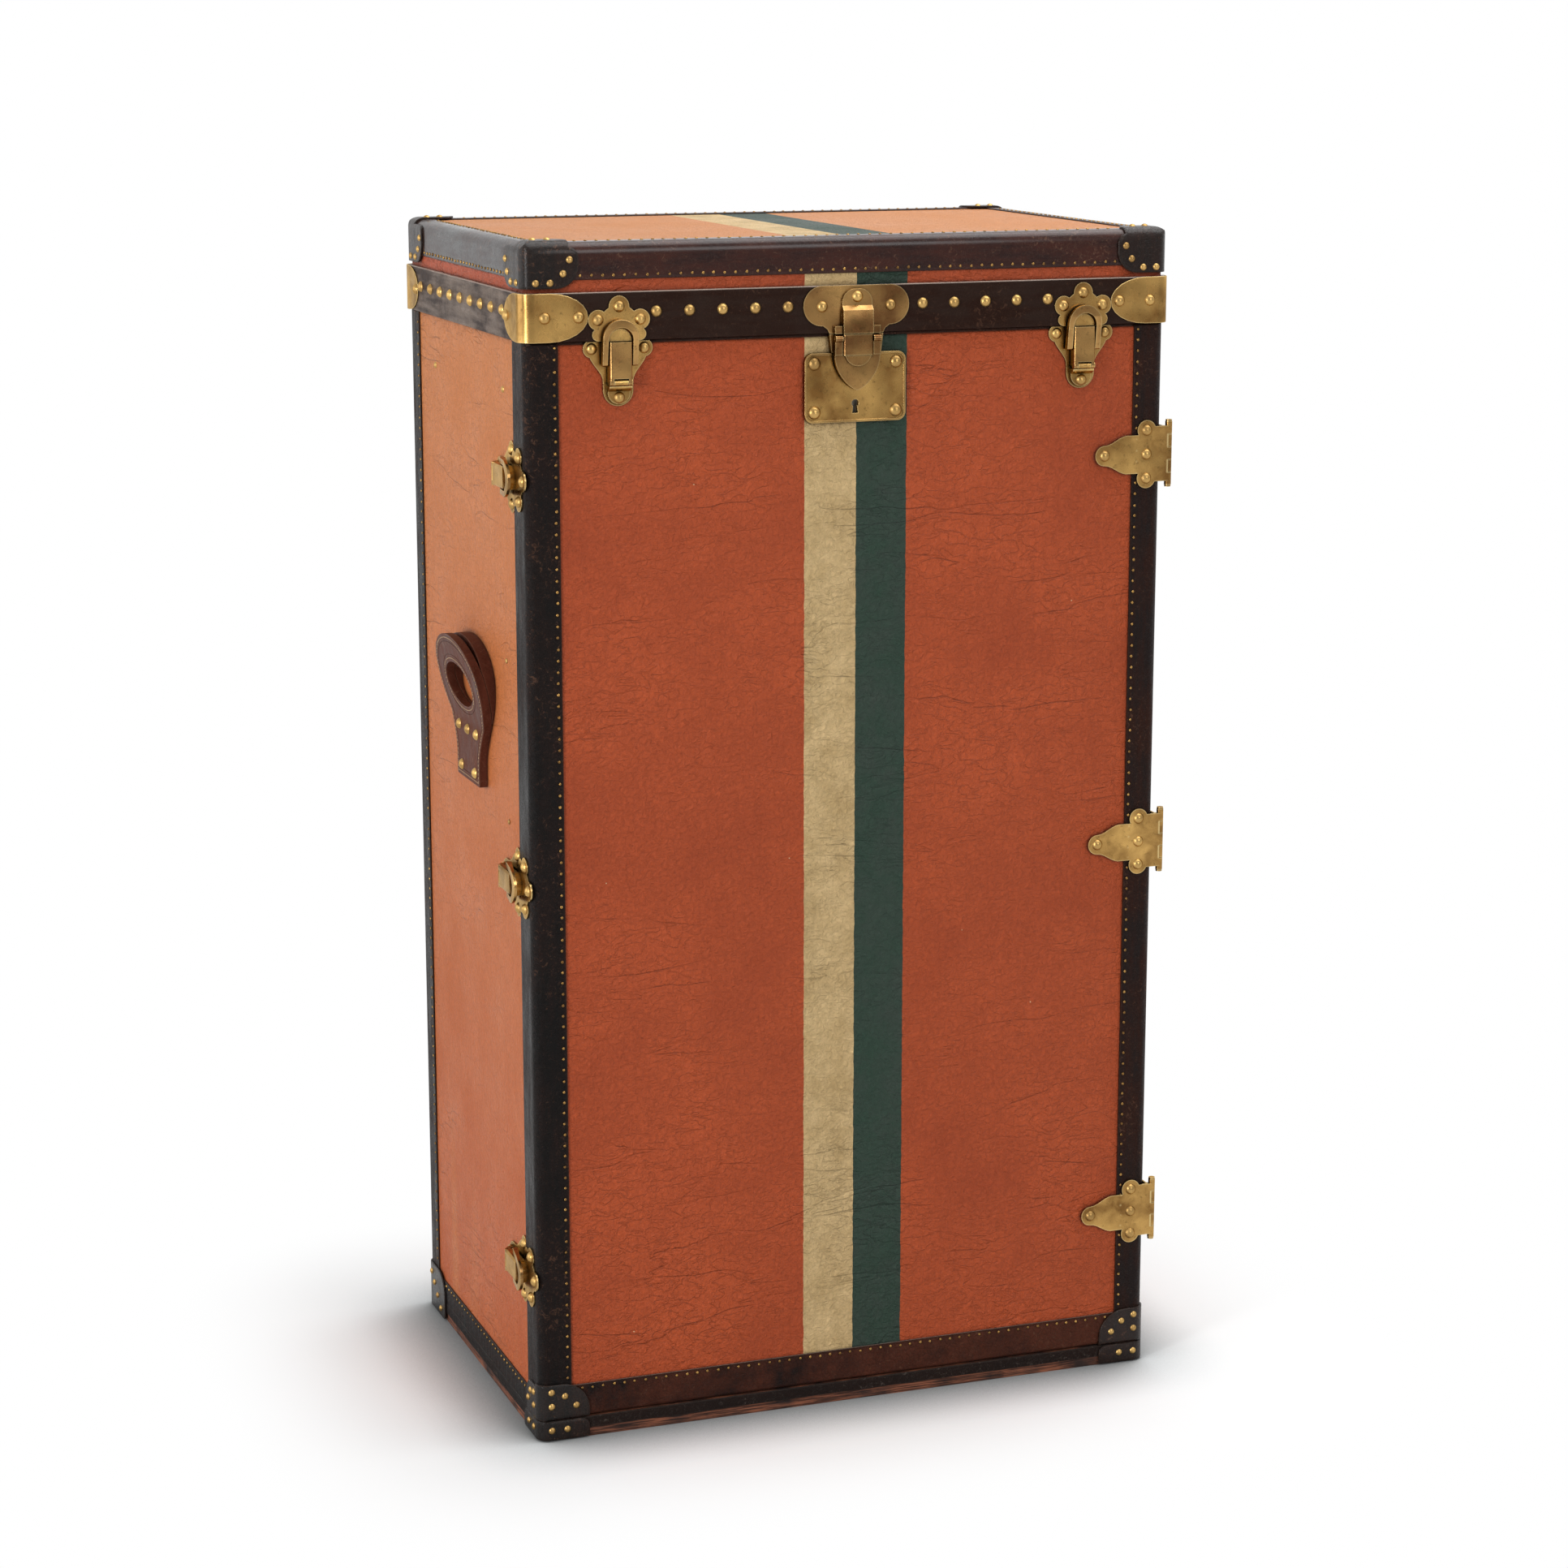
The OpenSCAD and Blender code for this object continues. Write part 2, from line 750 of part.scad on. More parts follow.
module door_hinge_pins() {
  head = 1.6;
  color(BRASS) for (z = fitting_z) translate([door_axis_x, door_axis_y, z]) {
    cylinder(r = hinge_pin_r, h = barrel_l, center = true);
    for (side = [-1, 1]) translate([0, 0, side * (barrel_l / 2 + head / 2)]) {
      cylinder(r = barrel_r - 0.3, h = head, center = true);
    }
  }
}

front_leaf_rivets = [[-leaf_reach, 0], for (y = [0, leaf_spread, -leaf_spread]) [-leaf_column, y]];
side_leaf_rivets = [[side_leaf_reach - leaf_lobe, 0], [side_leaf_column + 4, 0],
  for (y = [leaf_spread, -leaf_spread]) [side_leaf_column, y]];

// Lid hinges

lid_leaf_h = 34;
lid_knuckle_l = lid_hinge_w / 5;
lid_hinge_x = [-lid_hinge_spacing, 0, lid_hinge_spacing];

module lid_knuckles(first, grow) {
  for (i = [first:2:4]) translate([i * lid_knuckle_l - lid_hinge_w / 2 + (brass_air - grow) / 2, 0, 0]) {
    rotate([0, 90, 0]) cylinder(r = barrel_r + grow, h = lid_knuckle_l - brass_air + grow);
  }
}

// A leaf stands up from the barrel on the belt, or hangs down on the case
module lid_leaf(up) {
  half = lid_hinge_w / 2;
  seat = up ? belt_proud : -canvas_in;
  thick = up ? leaf_t : leaf_t + canvas_in;
  end = up ? lid_leaf_h : lid_leaf_h + 16;
  turn = up ? 0 : 180;
  difference() {
    union() {
      translate([0, half_d + seat, 0]) rotate([90, turn, 180]) linear_extrude(thick) {
        round_rect([-half, half_gap], [half, end], [0, 0, 8, 8]);
      }
      span([-half, half_d + seat, up ? half_gap : -3], [half, lid_axis_y, up ? 3 : -half_gap]);
      translate([0, lid_axis_y, 0]) lid_knuckles(up ? 0 : 1, 0);
    }
    translate([0, lid_axis_y, 0]) {
      lid_knuckles(up ? 1 : 0, 2 * brass_air);
      rotate([0, 90, 0]) cylinder(r = hinge_pin_r + pin_air, h = lid_hinge_w + past, center = true);
    }
  }
}

module lid_hinge_upper_leaves() {
  color(BRASS) for (x = lid_hinge_x) translate([x, 0, lid_seam]) lid_leaf(true);
}

module lid_hinge_lower_leaves() {
  color(BRASS) for (x = lid_hinge_x) translate([x, 0, lid_seam]) lid_leaf(false);
}

module lid_hinge_pins() {
  color(BRASS) for (x = lid_hinge_x) translate([x, lid_axis_y, lid_seam]) rotate([0, 90, 0]) {
    cylinder(r = hinge_pin_r, h = lid_hinge_w, center = true);
  }
}

lid_leaf_rivets = [for (x = [-16, 16]) [x, 13], [0, 24]];
lid_lower_rivets = [for (x = [-16, 16]) [x, -13], for (x = [-16, 16]) [x, -38]];

// Toggle latches, in a frame whose x runs across, whose y points over the seam at y = 0, and whose z leaves the
// canvas

module catch_outline() {
  wide = catch_ear_x;
  half = [[0, catch_top], [8, catch_top + 0.5], [wide - 0.5, catch_ear_y + 3],
    [wide - 4, catch_ear_y - 5], [wide, 6], [wide, 0], [0, 0]];
  intersection() {
    union() {
      translate([0, catch_top]) circle(9.5);
      for (side = [-1, 1]) {
        translate([side * wide, catch_ear_y]) circle(9);
        translate([side * wide, 6]) circle(5.5);
        polygon([for (p = half) [side * p.x, p.y]]);
      }
    }
    translate([-50, half_gap]) square([100, 50]);
  }
}

// Catch plate with its hook, seated at `rise` above the canvas
module latch_catch(rise) {
  translate([0, 0, rise]) linear_extrude(plate_t) catch_outline();
  intersection() {
    translate([0, half_gap, rise + 0.5]) cylinder(r = hook_r, h = hook_top - rise - 0.5);
    translate([-50, half_gap, 0]) cube([100, 50, 50]);
  }
}

nose_end = lever_reach + 21;
nose_rise = 4.2;
latch_rivet_y = nose_end - 7.2;

module latch_base_outline() {
  neck = sweep(-10, -lever_reach, 27, 14, 8);
  intersection() {
    union() {
      for (side = [-1, 1]) translate([side * base_ear_x, -base_ear_y]) circle(8);
      polygon([for (p = concat([[0, 27]], neck, mirrored(neck), [[0, -27]])) [p.y, p.x]]);
      translate([0, 13.5 - nose_end]) circle(14);
      translate([-14, 13.5 - nose_end]) square([28, nose_end - 13.5 - lever_reach + 1]);
    }
    translate([-50, -100]) square([100, 100 - half_gap]);
  }
}

// Base plate, the nose behind the lever and the middle knuckle that carries it
module latch_base() {
  back = lever_reach + knuckle_r + brass_air;
  linear_extrude(plate_t) latch_base_outline();
  difference() {
    union() {
      intersection() {
        linear_extrude(lever_top) {
          round_rect([-lever_w / 2, -nose_end + 1.5], [lever_w / 2, -lever_reach], [10, 10, 0, 0]);
        }
        rotate([90, 0, 90]) linear_extrude(lever_w, center = true) polygon([
          [-back, 0], [-back, lever_axis_rise + 0.8], [-back - 2, lever_axis_rise], [-back - 5, nose_rise],
          [-nose_end, nose_rise], [-nose_end, 0]]);
      }
      span([-mid_knuckle / 2, -back - 0.5, plate_t - 0.5], [mid_knuckle / 2, -lever_reach, lever_axis_rise]);
      translate([0, -lever_reach, lever_axis_rise]) rotate([0, 90, 0]) {
        cylinder(r = knuckle_r, h = mid_knuckle, center = true);
      }
    }
    translate([0, -lever_reach, lever_axis_rise]) rotate([0, 90, 0]) {
      cylinder(r = latch_pin_r + pin_air, h = 2 * lever_w, center = true);
    }
  }
}

latch_base_rivets = [[-base_ear_x, -base_ear_y], [base_ear_x, -base_ear_y]];
catch_rivets = [[0, catch_top], [-catch_ear_x, catch_ear_y], [catch_ear_x, catch_ear_y]];

// Hollow lever: a strap with turned-down sides, hinged on two outer knuckles
module latch_lever() {
  low = 2 * plate_t;
  half = lever_w / 2;
  front = -half_gap;
  difference() {
    union() {
      translate([0, front, 0]) rotate([90, 0, 0]) linear_extrude(lever_reach + front) {
        round_rect([-half, low], [half, lever_top], [0, 0, 2.5, 2.5]);
      }
      translate([0, -lever_reach, lever_axis_rise]) rotate([0, 90, 0]) {
        cylinder(r = knuckle_r, h = lever_w, center = true);
      }
    }
    // The hollow under the strap
    span([lever_wall - half, -lever_reach - past, low - 1], [half - lever_wall, front - lever_wall,
      lever_top - lever_wall]);
    // Room for the middle knuckle
    span([-mid_knuckle / 2 - brass_air, -lever_reach - past, 0],
      [mid_knuckle / 2 + brass_air, knuckle_r + brass_air - lever_reach, lever_top + 1]);
    translate([0, -lever_reach, lever_axis_rise]) rotate([0, 90, 0]) {
      cylinder(r = latch_pin_r + pin_air, h = 2 * lever_w, center = true);
    }
    translate([0, -loop_pivot, loop_pivot_rise]) rotate([0, 90, 0]) {
      cylinder(r = trunnion_r + pin_air, h = 2 * lever_w, center = true);
    }
  }
}

// U-shaped loop: its arms straddle the lever and its arch passes in front of the hook
module latch_loop() {
  eye_r = loop_bar - 0.4;
  bend_y = hook_r - 2;
  arch_y = arm_out + 4;
  difference() {
    intersection() {
      linear_extrude(arch_low + loop_bar) difference() {
        union() {
          translate([0, 3]) circle(arm_out);
          translate([-arm_out, -loop_pivot - eye_r]) square([2 * arm_out, loop_pivot + eye_r + 3]);
        }
        translate([0, 1]) circle(arm_in);
        translate([-arm_in, -loop_pivot - past]) square([2 * arm_in, loop_pivot + past + 1]);
      }
      rotate([90, 0, 90]) linear_extrude(4 * arm_out, center = true) {
        translate([-loop_pivot, loop_pivot_rise]) circle(eye_r);
        polygon([[-loop_pivot, loop_pivot_rise - eye_r], [bend_y, arch_low], [arch_y, arch_low],
          [arch_y, arch_low + loop_bar], [bend_y, arch_low + loop_bar], [-loop_pivot, loop_pivot_rise + eye_r]]);
      }
    }
  }
  // Trunnions that turn in the sides of the lever
  for (side = [-1, 1]) translate([side * (arm_in + 0.5), -loop_pivot, loop_pivot_rise]) {
    rotate([0, -side * 90, 0]) cylinder(r = trunnion_r, h = arm_in + 0.5 - lever_w / 2 + lever_wall);
  }
}

module latch_pin() {
  translate([0, -lever_reach, lever_axis_rise]) rotate([0, 90, 0]) {
    cylinder(r = latch_pin_r, h = lever_w - 0.6, center = true);
  }
}

// Places of the five latches
module front_latch_place(side) {
  on_front(-canvas_in) translate([side * front_latch_x, lid_seam, 0]) children();
}

module side_latch_place(i) {
  on_left(-canvas_in) translate([-seam_y, fitting_z[i], 0]) rotate([0, 0, -90]) children();
}

module front_latch_bases() {
  color(BRASS) for (side = [-1, 1]) front_latch_place(side) latch_base();
}

module front_latch_pins() {
  color(BRASS) for (side = [-1, 1]) front_latch_place(side) latch_pin();
}

module front_catches() {
  color(BRASS) for (side = [-1, 1]) front_latch_place(side) latch_catch(front_catch_rise);
}

module side_latch_bases() {
  color(BRASS) for (i = [0:2]) side_latch_place(i) latch_base();
}

module side_latch_pins() {
  color(BRASS) for (i = [0:2]) side_latch_place(i) latch_pin();
}

module side_catches() {
  color(BRASS) for (i = [0:2]) side_latch_place(i) latch_catch(side_catch_rise);
}

module front_lever(side) {
  color(BRASS) front_latch_place(side) latch_lever();
}

module side_lever(i) {
  color(BRASS) side_latch_place(i) latch_lever();
}

module front_loop(side) {
  color(BRASS) front_latch_place(side) latch_loop();
}

module side_loop(i) {
  color(BRASS) side_latch_place(i) latch_loop();
}

// Door

module door_shell() {
  color(WOOD) difference() {
    door_block(board_in);
    span([cover_in - half_w, cover_in - half_d, door_z0 + cover_in],
      [half_w - cover_in, door_y1 + past, door_z1 - cover_in]);
    lock_pocket();
  }
}

// The form of the door drawn past its open back, to cut skins from
module door_core(inset) {
  r = edge_r - inset;
  soft_block([inset - half_w, inset - half_d, door_z0 + inset],
    [half_w - inset, door_y1 + past, door_z1 - inset], [r, r, 0, 0], [0, 0, 0, 0], [r / 2, 0, 0, r / 3]);
}

module door_canvas() {
  color(CANVAS) difference() {
    door_block(canvas_in);
    door_core(board_in);
    lock_pocket();
  }
}

module door_binding() {
  color(BROWN_LEATHER) difference() {
    door_block(0);
    door_core(canvas_in);
    span([door_strip - half_w, -half_d - past, door_z0 + door_foot_strip],
      [half_w - door_strip, canvas_in + 1 - half_d, door_z1 + past]);
  }
}

module door_lining() {
  color(CLOTH) difference() {
    span([cover_in - half_w, cover_in - half_d, door_z0 + cover_in],
      [half_w - cover_in, door_y1 - 1, door_z1 - cover_in]);
    span([cover_clear - half_w, cover_clear - half_d, door_z0 + cover_clear],
      [half_w - cover_clear, door_y1 + past, door_z1 - cover_clear]);
    lock_pocket();
  }
}

module door_cap() {
  low = door_z0 + 0.2;
  high = low + foot_cap_h;
  difference() {
    intersection() {
      door_block(-cap_t);
      union() {
        on_front(0) linear_extrude(2 * edge_r, center = true) {
          round_rect([-half_w - past, low], [foot_cap_x - half_w, high], [0, 0, 27, 0]);
        }
        on_left(0) linear_extrude(2 * edge_r, center = true) {
          round_rect([-door_y1, low], [half_d + past, high - 3], [0, 0, 0, 14]);
        }
      }
    }
    door_core(0);
  }
}

module door_caps() {
  color(BLACK_LEATHER) both_sides() door_cap();
}

// Lid

module lid_shell() {
  color(WOOD) difference() {
    lid_block(board_in);
    span([cover_in - half_w, cover_in - half_d, lid_z0 - past],
      [half_w - cover_in, half_d - cover_in, trunk_h - cover_in]);
  }
}

// The form of the lid drawn past its open foot, to cut skins from
module lid_core(inset) {
  r = edge_r - inset;
  soft_block([inset - half_w, inset - half_d, lid_z0 - past],
    [half_w - inset, half_d - inset, trunk_h - inset], [r, r, r, r], [0, 0, r, r], [0, 0, r, r]);
}

module lid_canvas() {
  color(CANVAS) difference() {
    lid_block(canvas_in);
    lid_core(board_in);
  }
}

module lid_binding() {
  color(BROWN_LEATHER) difference() {
    lid_block(0);
    lid_core(canvas_in);
    span([-half_w - past, -half_d - past, lid_z0 - past], [half_w + past, half_d + past, trunk_h - lid_side_strip]);
    span([lid_top_strip - half_w, lid_top_strip - half_d, trunk_h - past],
      [half_w - lid_top_strip, half_d - lid_top_strip, trunk_h + past]);
  }
}

module lid_lining() {
  color(CLOTH) difference() {
    span([cover_in - half_w, cover_in - half_d, lid_z0 + 1],
      [half_w - cover_in, half_d - cover_in, trunk_h - cover_in]);
    span([cover_clear - half_w, cover_clear - half_d, lid_z0 - past],
      [half_w - cover_clear, half_d - cover_clear, trunk_h - cover_clear]);
  }
}

module lid_belt() {
  color(BROWN_LEATHER) difference() {
    base_block(-belt_proud, lid_z0, lid_z0 + belt_h);
    base_block(canvas_in, lid_z0 - 1, lid_z0 + belt_h + 1);
  }
}

// Bullet-shaped outline that starts at x = 0 and ends in a half ellipse at x = reach
module bullet(reach) {
  half = belt_h / 2;
  round_l = 36;
  polygon(concat([[-past, -half]],
    [for (t = [-90:15:90]) [reach - round_l + round_l * cos(t), half * sin(t)]], [[-past, half]]));
}

module belt_clamp() {
  middle = lid_z0 + belt_h / 2;
  outer = belt_proud + clamp_t;
  difference() {
    intersection() {
      base_block(-outer, lid_z0, lid_z0 + belt_h);
      union() {
        on_front(0) translate([-half_w - belt_proud, middle]) linear_extrude(2 * edge_r, center = true) {
          bullet(clamp_reach_x);
        }
        on_left(0) translate([half_d + belt_proud, middle]) mirror([1, 0]) {
          linear_extrude(2 * edge_r, center = true) bullet(clamp_reach_y);
        }
      }
    }
    base_block(-belt_proud, lid_z0 - 1, lid_z0 + belt_h + 1);
  }
}

module belt_clamps() {
  color(BRASS) four_corners() belt_clamp();
}

module lid_cap() {
  low = trunk_h - lid_cap_h;
  high = trunk_h + past;
  difference() {
    intersection() {
      lid_block(-cap_t);
      union() {
        on_front(0) linear_extrude(2 * edge_r, center = true) {
          round_rect([-half_w - past, low], [lid_cap_x - half_w, trunk_h - 4], [0, 20, 9, 0]);
        }
        on_left(0) linear_extrude(2 * edge_r, center = true) {
          round_rect([half_d - lid_cap_y, low], [half_d + past, trunk_h - 4], [20, 0, 0, 9]);
        }
        translate([0, 0, trunk_h - edge_r]) linear_extrude(2 * edge_r) {
          round_rect([-half_w - past, -half_d - past], [lid_cap_x - 8 - half_w, lid_cap_top - half_d], [0, 0, 14, 0]);
        }
      }
    }
    lid_core(0);
  }
}

module lid_caps() {
  color(BLACK_LEATHER) four_corners() lid_cap();
}

// Lock and hasp

slot_w = 7;
slot_h = 13;
slot_z = strap_foot - 17;
staple_w = 5.6;
staple_h = 8;
staple_deep = 4;
lock_box_t = 9;
lock_foot = 7;

// The hole in the face of the door behind the lock plate
module lock_pocket() {
  span([-lock_w / 4, -half_d - 1, lock_top - lock_h + lock_foot], [lock_w / 4, cover_clear - half_d + 1, lock_top - 10]);
}

module lock_outline(inset) {
  r = 8 - inset;
  round_rect([inset - lock_w / 2, lock_top - lock_h + inset], [lock_w / 2 - inset, lock_top - inset], [r, r, r, r]);
}

module keyhole() {
  translate([0, lock_top - lock_h + 17]) {
    circle(keyhole_r);
    polygon([[-keyhole_r / 2, 0], [keyhole_r / 2, 0], [keyhole_r - 0.6, -9], [0.6 - keyhole_r, -9]]);
  }
}

module lock_plate() {
  rim = 2.2;
  color(BRASS) on_front(-canvas_in) difference() {
    linear_extrude(lock_t + 0.8) lock_outline(0);
    translate([0, 0, lock_t]) linear_extrude(2) lock_outline(rim);
    translate([0, 0, -1]) linear_extrude(lock_t + 3) keyhole();
    translate([-slot_w / 2, slot_z - slot_h / 2, -1]) cube([slot_w, slot_h, lock_t + 3]);
  }
}

// The works of the lock in their box, with the hole for the staple and the key
module lock_box() {
  color(STEEL) on_front(-canvas_in) difference() {
    span([brass_air - lock_w / 4, lock_top - lock_h + lock_foot + brass_air, -lock_box_t],
      [lock_w / 4 - brass_air, lock_top - 10 - brass_air, 0]);
    translate([-slot_w / 2, slot_z - slot_h / 2, -staple_deep - 2]) cube([slot_w, slot_h, lock_box_t]);
    translate([0, 0, -6]) linear_extrude(lock_box_t) keyhole();
  }
}

lock_rivets = [for (x = [-1, 1], y = [-9.5, 9.5 - lock_h]) [x * (lock_w / 2 - 9.5), lock_top + y]];

// The neck and the lower half of the strap stay with the door
module hasp_saddle() {
  neck = hasp_w / 2 + 4;
  color(BRASS) difference() {
    union() {
      on_front(-canvas_in) linear_extrude(plate_top + canvas_in) {
        polygon([[-neck + 2, lock_top + 0.2], [neck - 2, lock_top + 0.2], [neck, door_z1], [-neck, door_z1]]);
      }
      on_front(0) translate([0, door_z1, 0]) rotate([90, 0, 0]) linear_extrude(door_z1 - strap_foot) {
        round_rect([-strap_w / 2, plate_top - 0.5], [strap_w / 2, strap_top], [0, 0, 3, 3]);
      }
    }
    on_front(hasp_axis_rise) translate([0, hasp_axis_z, 0]) rotate([0, 90, 0]) {
      cylinder(r = hasp_pin_r + pin_air, h = 2 * hasp_w, center = true);
    }
  }
}

module hasp_pin() {
  color(BRASS) on_front(hasp_axis_rise) translate([0, hasp_axis_z, 0]) rotate([0, 90, 0]) {
    cylinder(r = hasp_pin_r, h = hasp_w - 0.6, center = true);
  }
}

// Pointed tongue, full at its root and slim at its tip
module tongue_outline() {
  side = [for (t = [0:7.5:90]) [strap_foot - tongue_l * sin(t), hasp_w / 2 * pow(max(0, cos(t)), 1.5)]];
  tip = [for (p = side) if (p.y > 0.1) p];
  polygon([for (p = concat([[strap_foot + 3, hasp_w / 2]], tip, [[strap_foot - tongue_l, 0]], mirrored(tip),
    [[strap_foot + 3, -hasp_w / 2]])) [p.y, p.x]]);
}

// Wings beside the strap, the tongue below it, its thumb piece and the staple behind
module hasp() {
  half = hasp_w / 2;
  inner = strap_w / 2 + brass_air;
  color(BRASS) difference() {
    union() {
      on_front(tongue_low) linear_extrude(tongue_t) tongue_outline();
      intersection() {
        on_front(tongue_low) for (side = [-1, 1]) translate([side * (half + inner) / 2, 0, 0]) {
          linear_extrude(tongue_t + 1.2) translate([0, (strap_foot + hasp_axis_z) / 2]) {
            square([half - inner, hasp_axis_z - strap_foot], center = true);
          }
        }
      }
      on_front(hasp_axis_rise) translate([0, hasp_axis_z, 0]) rotate([0, 90, 0]) {
        cylinder(r = hasp_knuckle_r, h = hasp_w, center = true);
      }
      // Thumb piece: a half moon under the strap
      on_front(tongue_low + 1) intersection() {
        translate([0, strap_foot + 3, 0]) cylinder(r = strap_w / 2 - 1.5, h = tongue_t + 1);
        span([-50, strap_foot - 50, 0], [50, strap_foot - brass_air, 50]);
      }
      on_front(0) span([-staple_w / 2, slot_z - staple_h / 2 + 0.8, -canvas_in - staple_deep],
        [staple_w / 2, slot_z + staple_h / 2 + 0.8, tongue_low + 1]);
    }
    // The strap passes between the wings
    on_front(0) span([-inner, strap_foot - brass_air, -past], [inner, lid_seam + past, past]);
    on_front(hasp_axis_rise) translate([0, hasp_axis_z, 0]) rotate([0, 90, 0]) {
      cylinder(r = hasp_pin_r + pin_air, h = 2 * hasp_w, center = true);
    }
  }
}

strap_end_t = 2.2;

// Plate with two lobes on the belt, the upper half of the strap and the tops of the wings
module hasp_plate() {
  lobe = 18;
  top = lid_z0 + belt_h;
  neck = hasp_w / 2 + 4;
  middle = top - lobe;
  color(BRASS) {
    on_front(belt_proud) linear_extrude(plate_t) {
      for (side = [-1, 1]) translate([side * hasp_lobe_x, middle]) circle(lobe);
      translate([-hasp_lobe_x, middle]) square([2 * hasp_lobe_x, lobe]);
      polygon([[-neck, lid_z0], [neck, lid_z0], [neck + 2, lid_z0 + 4], [hasp_lobe_x + 6, middle - lobe + 5],
        [hasp_lobe_x, middle], [-hasp_lobe_x, middle], [-hasp_lobe_x - 6, middle - lobe + 5], [-neck - 2, lid_z0 + 4]]);
    }
    intersection() {
      on_front(0) linear_extrude(strap_top) {
        round_rect([-strap_w / 2, lid_z0], [strap_w / 2, top - 3], [0, 0, 12, 12]);
      }
      on_front(0) rotate([90, 0, 90]) linear_extrude(strap_w, center = true) polygon([
        [lid_z0, plate_top - 0.5], [lid_z0, strap_top], [top - 22, strap_top - 1],
        [top - 18, plate_top + strap_end_t], [top, plate_top + strap_end_t], [top, plate_top - 0.5]]);
    }
    on_front(plate_top - 0.5) for (side = [-1, 1]) {
      translate([side * (hasp_w / 2 + strap_w / 2 + brass_air) / 2, lid_z0 + 3.5, 2.2]) {
        cube([hasp_w / 2 - strap_w / 2 - brass_air, 7, 4.4], center = true);
      }
    }
  }
}

// Rivets and nails, all on flat seats

belt_mid = lid_z0 + 25;
clamp_mid = lid_z0 + belt_h / 2;

module case_rivets() {
  color(BRASS) {
    both_sides() handle_seat() translate([0, 0, handle_t]) rivets(handle_rivet_places);
    for (z = fitting_z) on_right(0.4 + leaf_t) {
      translate([-seam_y, z, 0]) rivets([for (p = side_leaf_rivets) [-p.x, p.y]]);
    }
    for (x = lid_hinge_x) on_back(leaf_t) translate([x, lid_seam, 0]) rivets(lid_lower_rivets);
    for (i = [0:2]) side_latch_place(i) {
      translate([0, 0, plate_t]) rivets(latch_base_rivets);
      translate([0, 0, nose_rise]) rivets([[0, -latch_rivet_y]]);
    }
    both_sides() {
      on_front(cap_t) nails([for (x = [9, 24]) [x - half_w + 2, base_top / 2 + 1]]);
      on_left(cap_t) nails([for (x = [16, 32]) [half_d - x, base_top / 2 + 1]]);
      on_left(cap_t) nails([for (p = [[12, 38], [22, 29], [34, 19], [46, 9]]) [p.x - half_d, p.y]]);
      on_back(cap_t) nails([for (p = [[14, 34], [26, 24], [38, 12]]) [half_w - p.x, p.y]]);
    }
    on_left(-canvas_in) nails([for (x = [canvas_nail_back - half_d, -seam_y - canvas_nail_front])
      [x, lid_seam - canvas_nail_drop]]);
  }
}

module door_rivets() {
  low = door_z0;
  color(BRASS) {
    on_front(-canvas_in) for (p = lock_rivets) translate([p.x, p.y, lock_t]) dome(lock_rivet_r, rivet_h + 0.4);
    for (z = fitting_z) on_front(leaf_t) translate([half_w, z, 0]) rivets(front_leaf_rivets);
    for (side = [-1, 1]) front_latch_place(side) {
      translate([0, 0, plate_t]) rivets(latch_base_rivets);
      translate([0, 0, nose_rise]) rivets([[0, -latch_rivet_y]]);
    }
    for (i = [0:2]) side_latch_place(i) translate([0, 0, side_catch_rise + plate_t]) rivets(catch_rivets);
    both_sides() {
      on_front(cap_t) nails([for (p = [[11, 28], [24, 23], [35, 13], [11, 14]]) [p.x - half_w, low + p.y]]);
      on_left(cap_t) nails([for (p = [[15, 25], [26, 23], [34, 13], [15, 12]]) [half_d - p.x, low + p.y]]);
    }
  }
}

// Belt rivets run outwards from beside the hasp plate and the latches, and along the sides between the clamps
belt_front_x = [for (i = [0:4]) hasp_lobe_x + 32 + i * belt_pitch_x];
belt_side_n = floor((trunk_d - 2 * clamp_reach_y - 2 * rivet_r) / belt_pitch_y);
belt_side_y = [for (i = [0:belt_side_n]) (i - belt_side_n / 2) * belt_pitch_y];
lid_cap_nails_x = [[11, 5], [24, 5], [36, 13], [42, 25]];
lid_cap_nails_y = [[16, 5], [33, 5], [44, 13], [50, 24]];

module lid_rivets() {
  low = trunk_h - lid_cap_h;
  color(BRASS) {
    both_sides() {
      on_front(belt_proud) rivets([for (x = belt_front_x) if (x < front_latch_x - 30) [x, belt_mid]]);
      on_back(belt_proud) rivets([for (x = belt_front_x) if (abs(x - lid_hinge_spacing) > 35) [x, belt_mid]]);
      on_left(belt_proud) rivets([for (y = belt_side_y) [-y, belt_mid]]);
    }
    four_corners() {
      on_front(belt_proud + clamp_t) rivets([for (x = [18, 49]) [x - half_w, clamp_mid]]);
      on_left(belt_proud + clamp_t) rivets([[half_d - 42, clamp_mid]]);
      on_front(cap_t) nails([for (p = lid_cap_nails_x) [p.x - half_w, low + p.y]]);
      on_left(cap_t) nails([for (p = lid_cap_nails_y) [half_d - p.x, low + p.y]]);
      translate([0, 0, trunk_h + cap_t]) {
        nails([for (p = [[14, 19], [27, 18]]) [p.x - half_w, p.y - half_d]]);
      }
    }
    on_front(plate_top) rivets([for (x = [-1, 1]) [x * hasp_lobe_x, clamp_mid + 3]]);
    on_front(plate_top + strap_end_t) rivets([[0, lid_z0 + belt_h - 10]]);
    for (side = [-1, 1]) front_latch_place(side) translate([0, 0, front_catch_rise + plate_t]) rivets(catch_rivets);
    for (x = lid_hinge_x) on_back(belt_proud + leaf_t) translate([x, lid_seam, 0]) rivets(lid_leaf_rivets);
  }
}

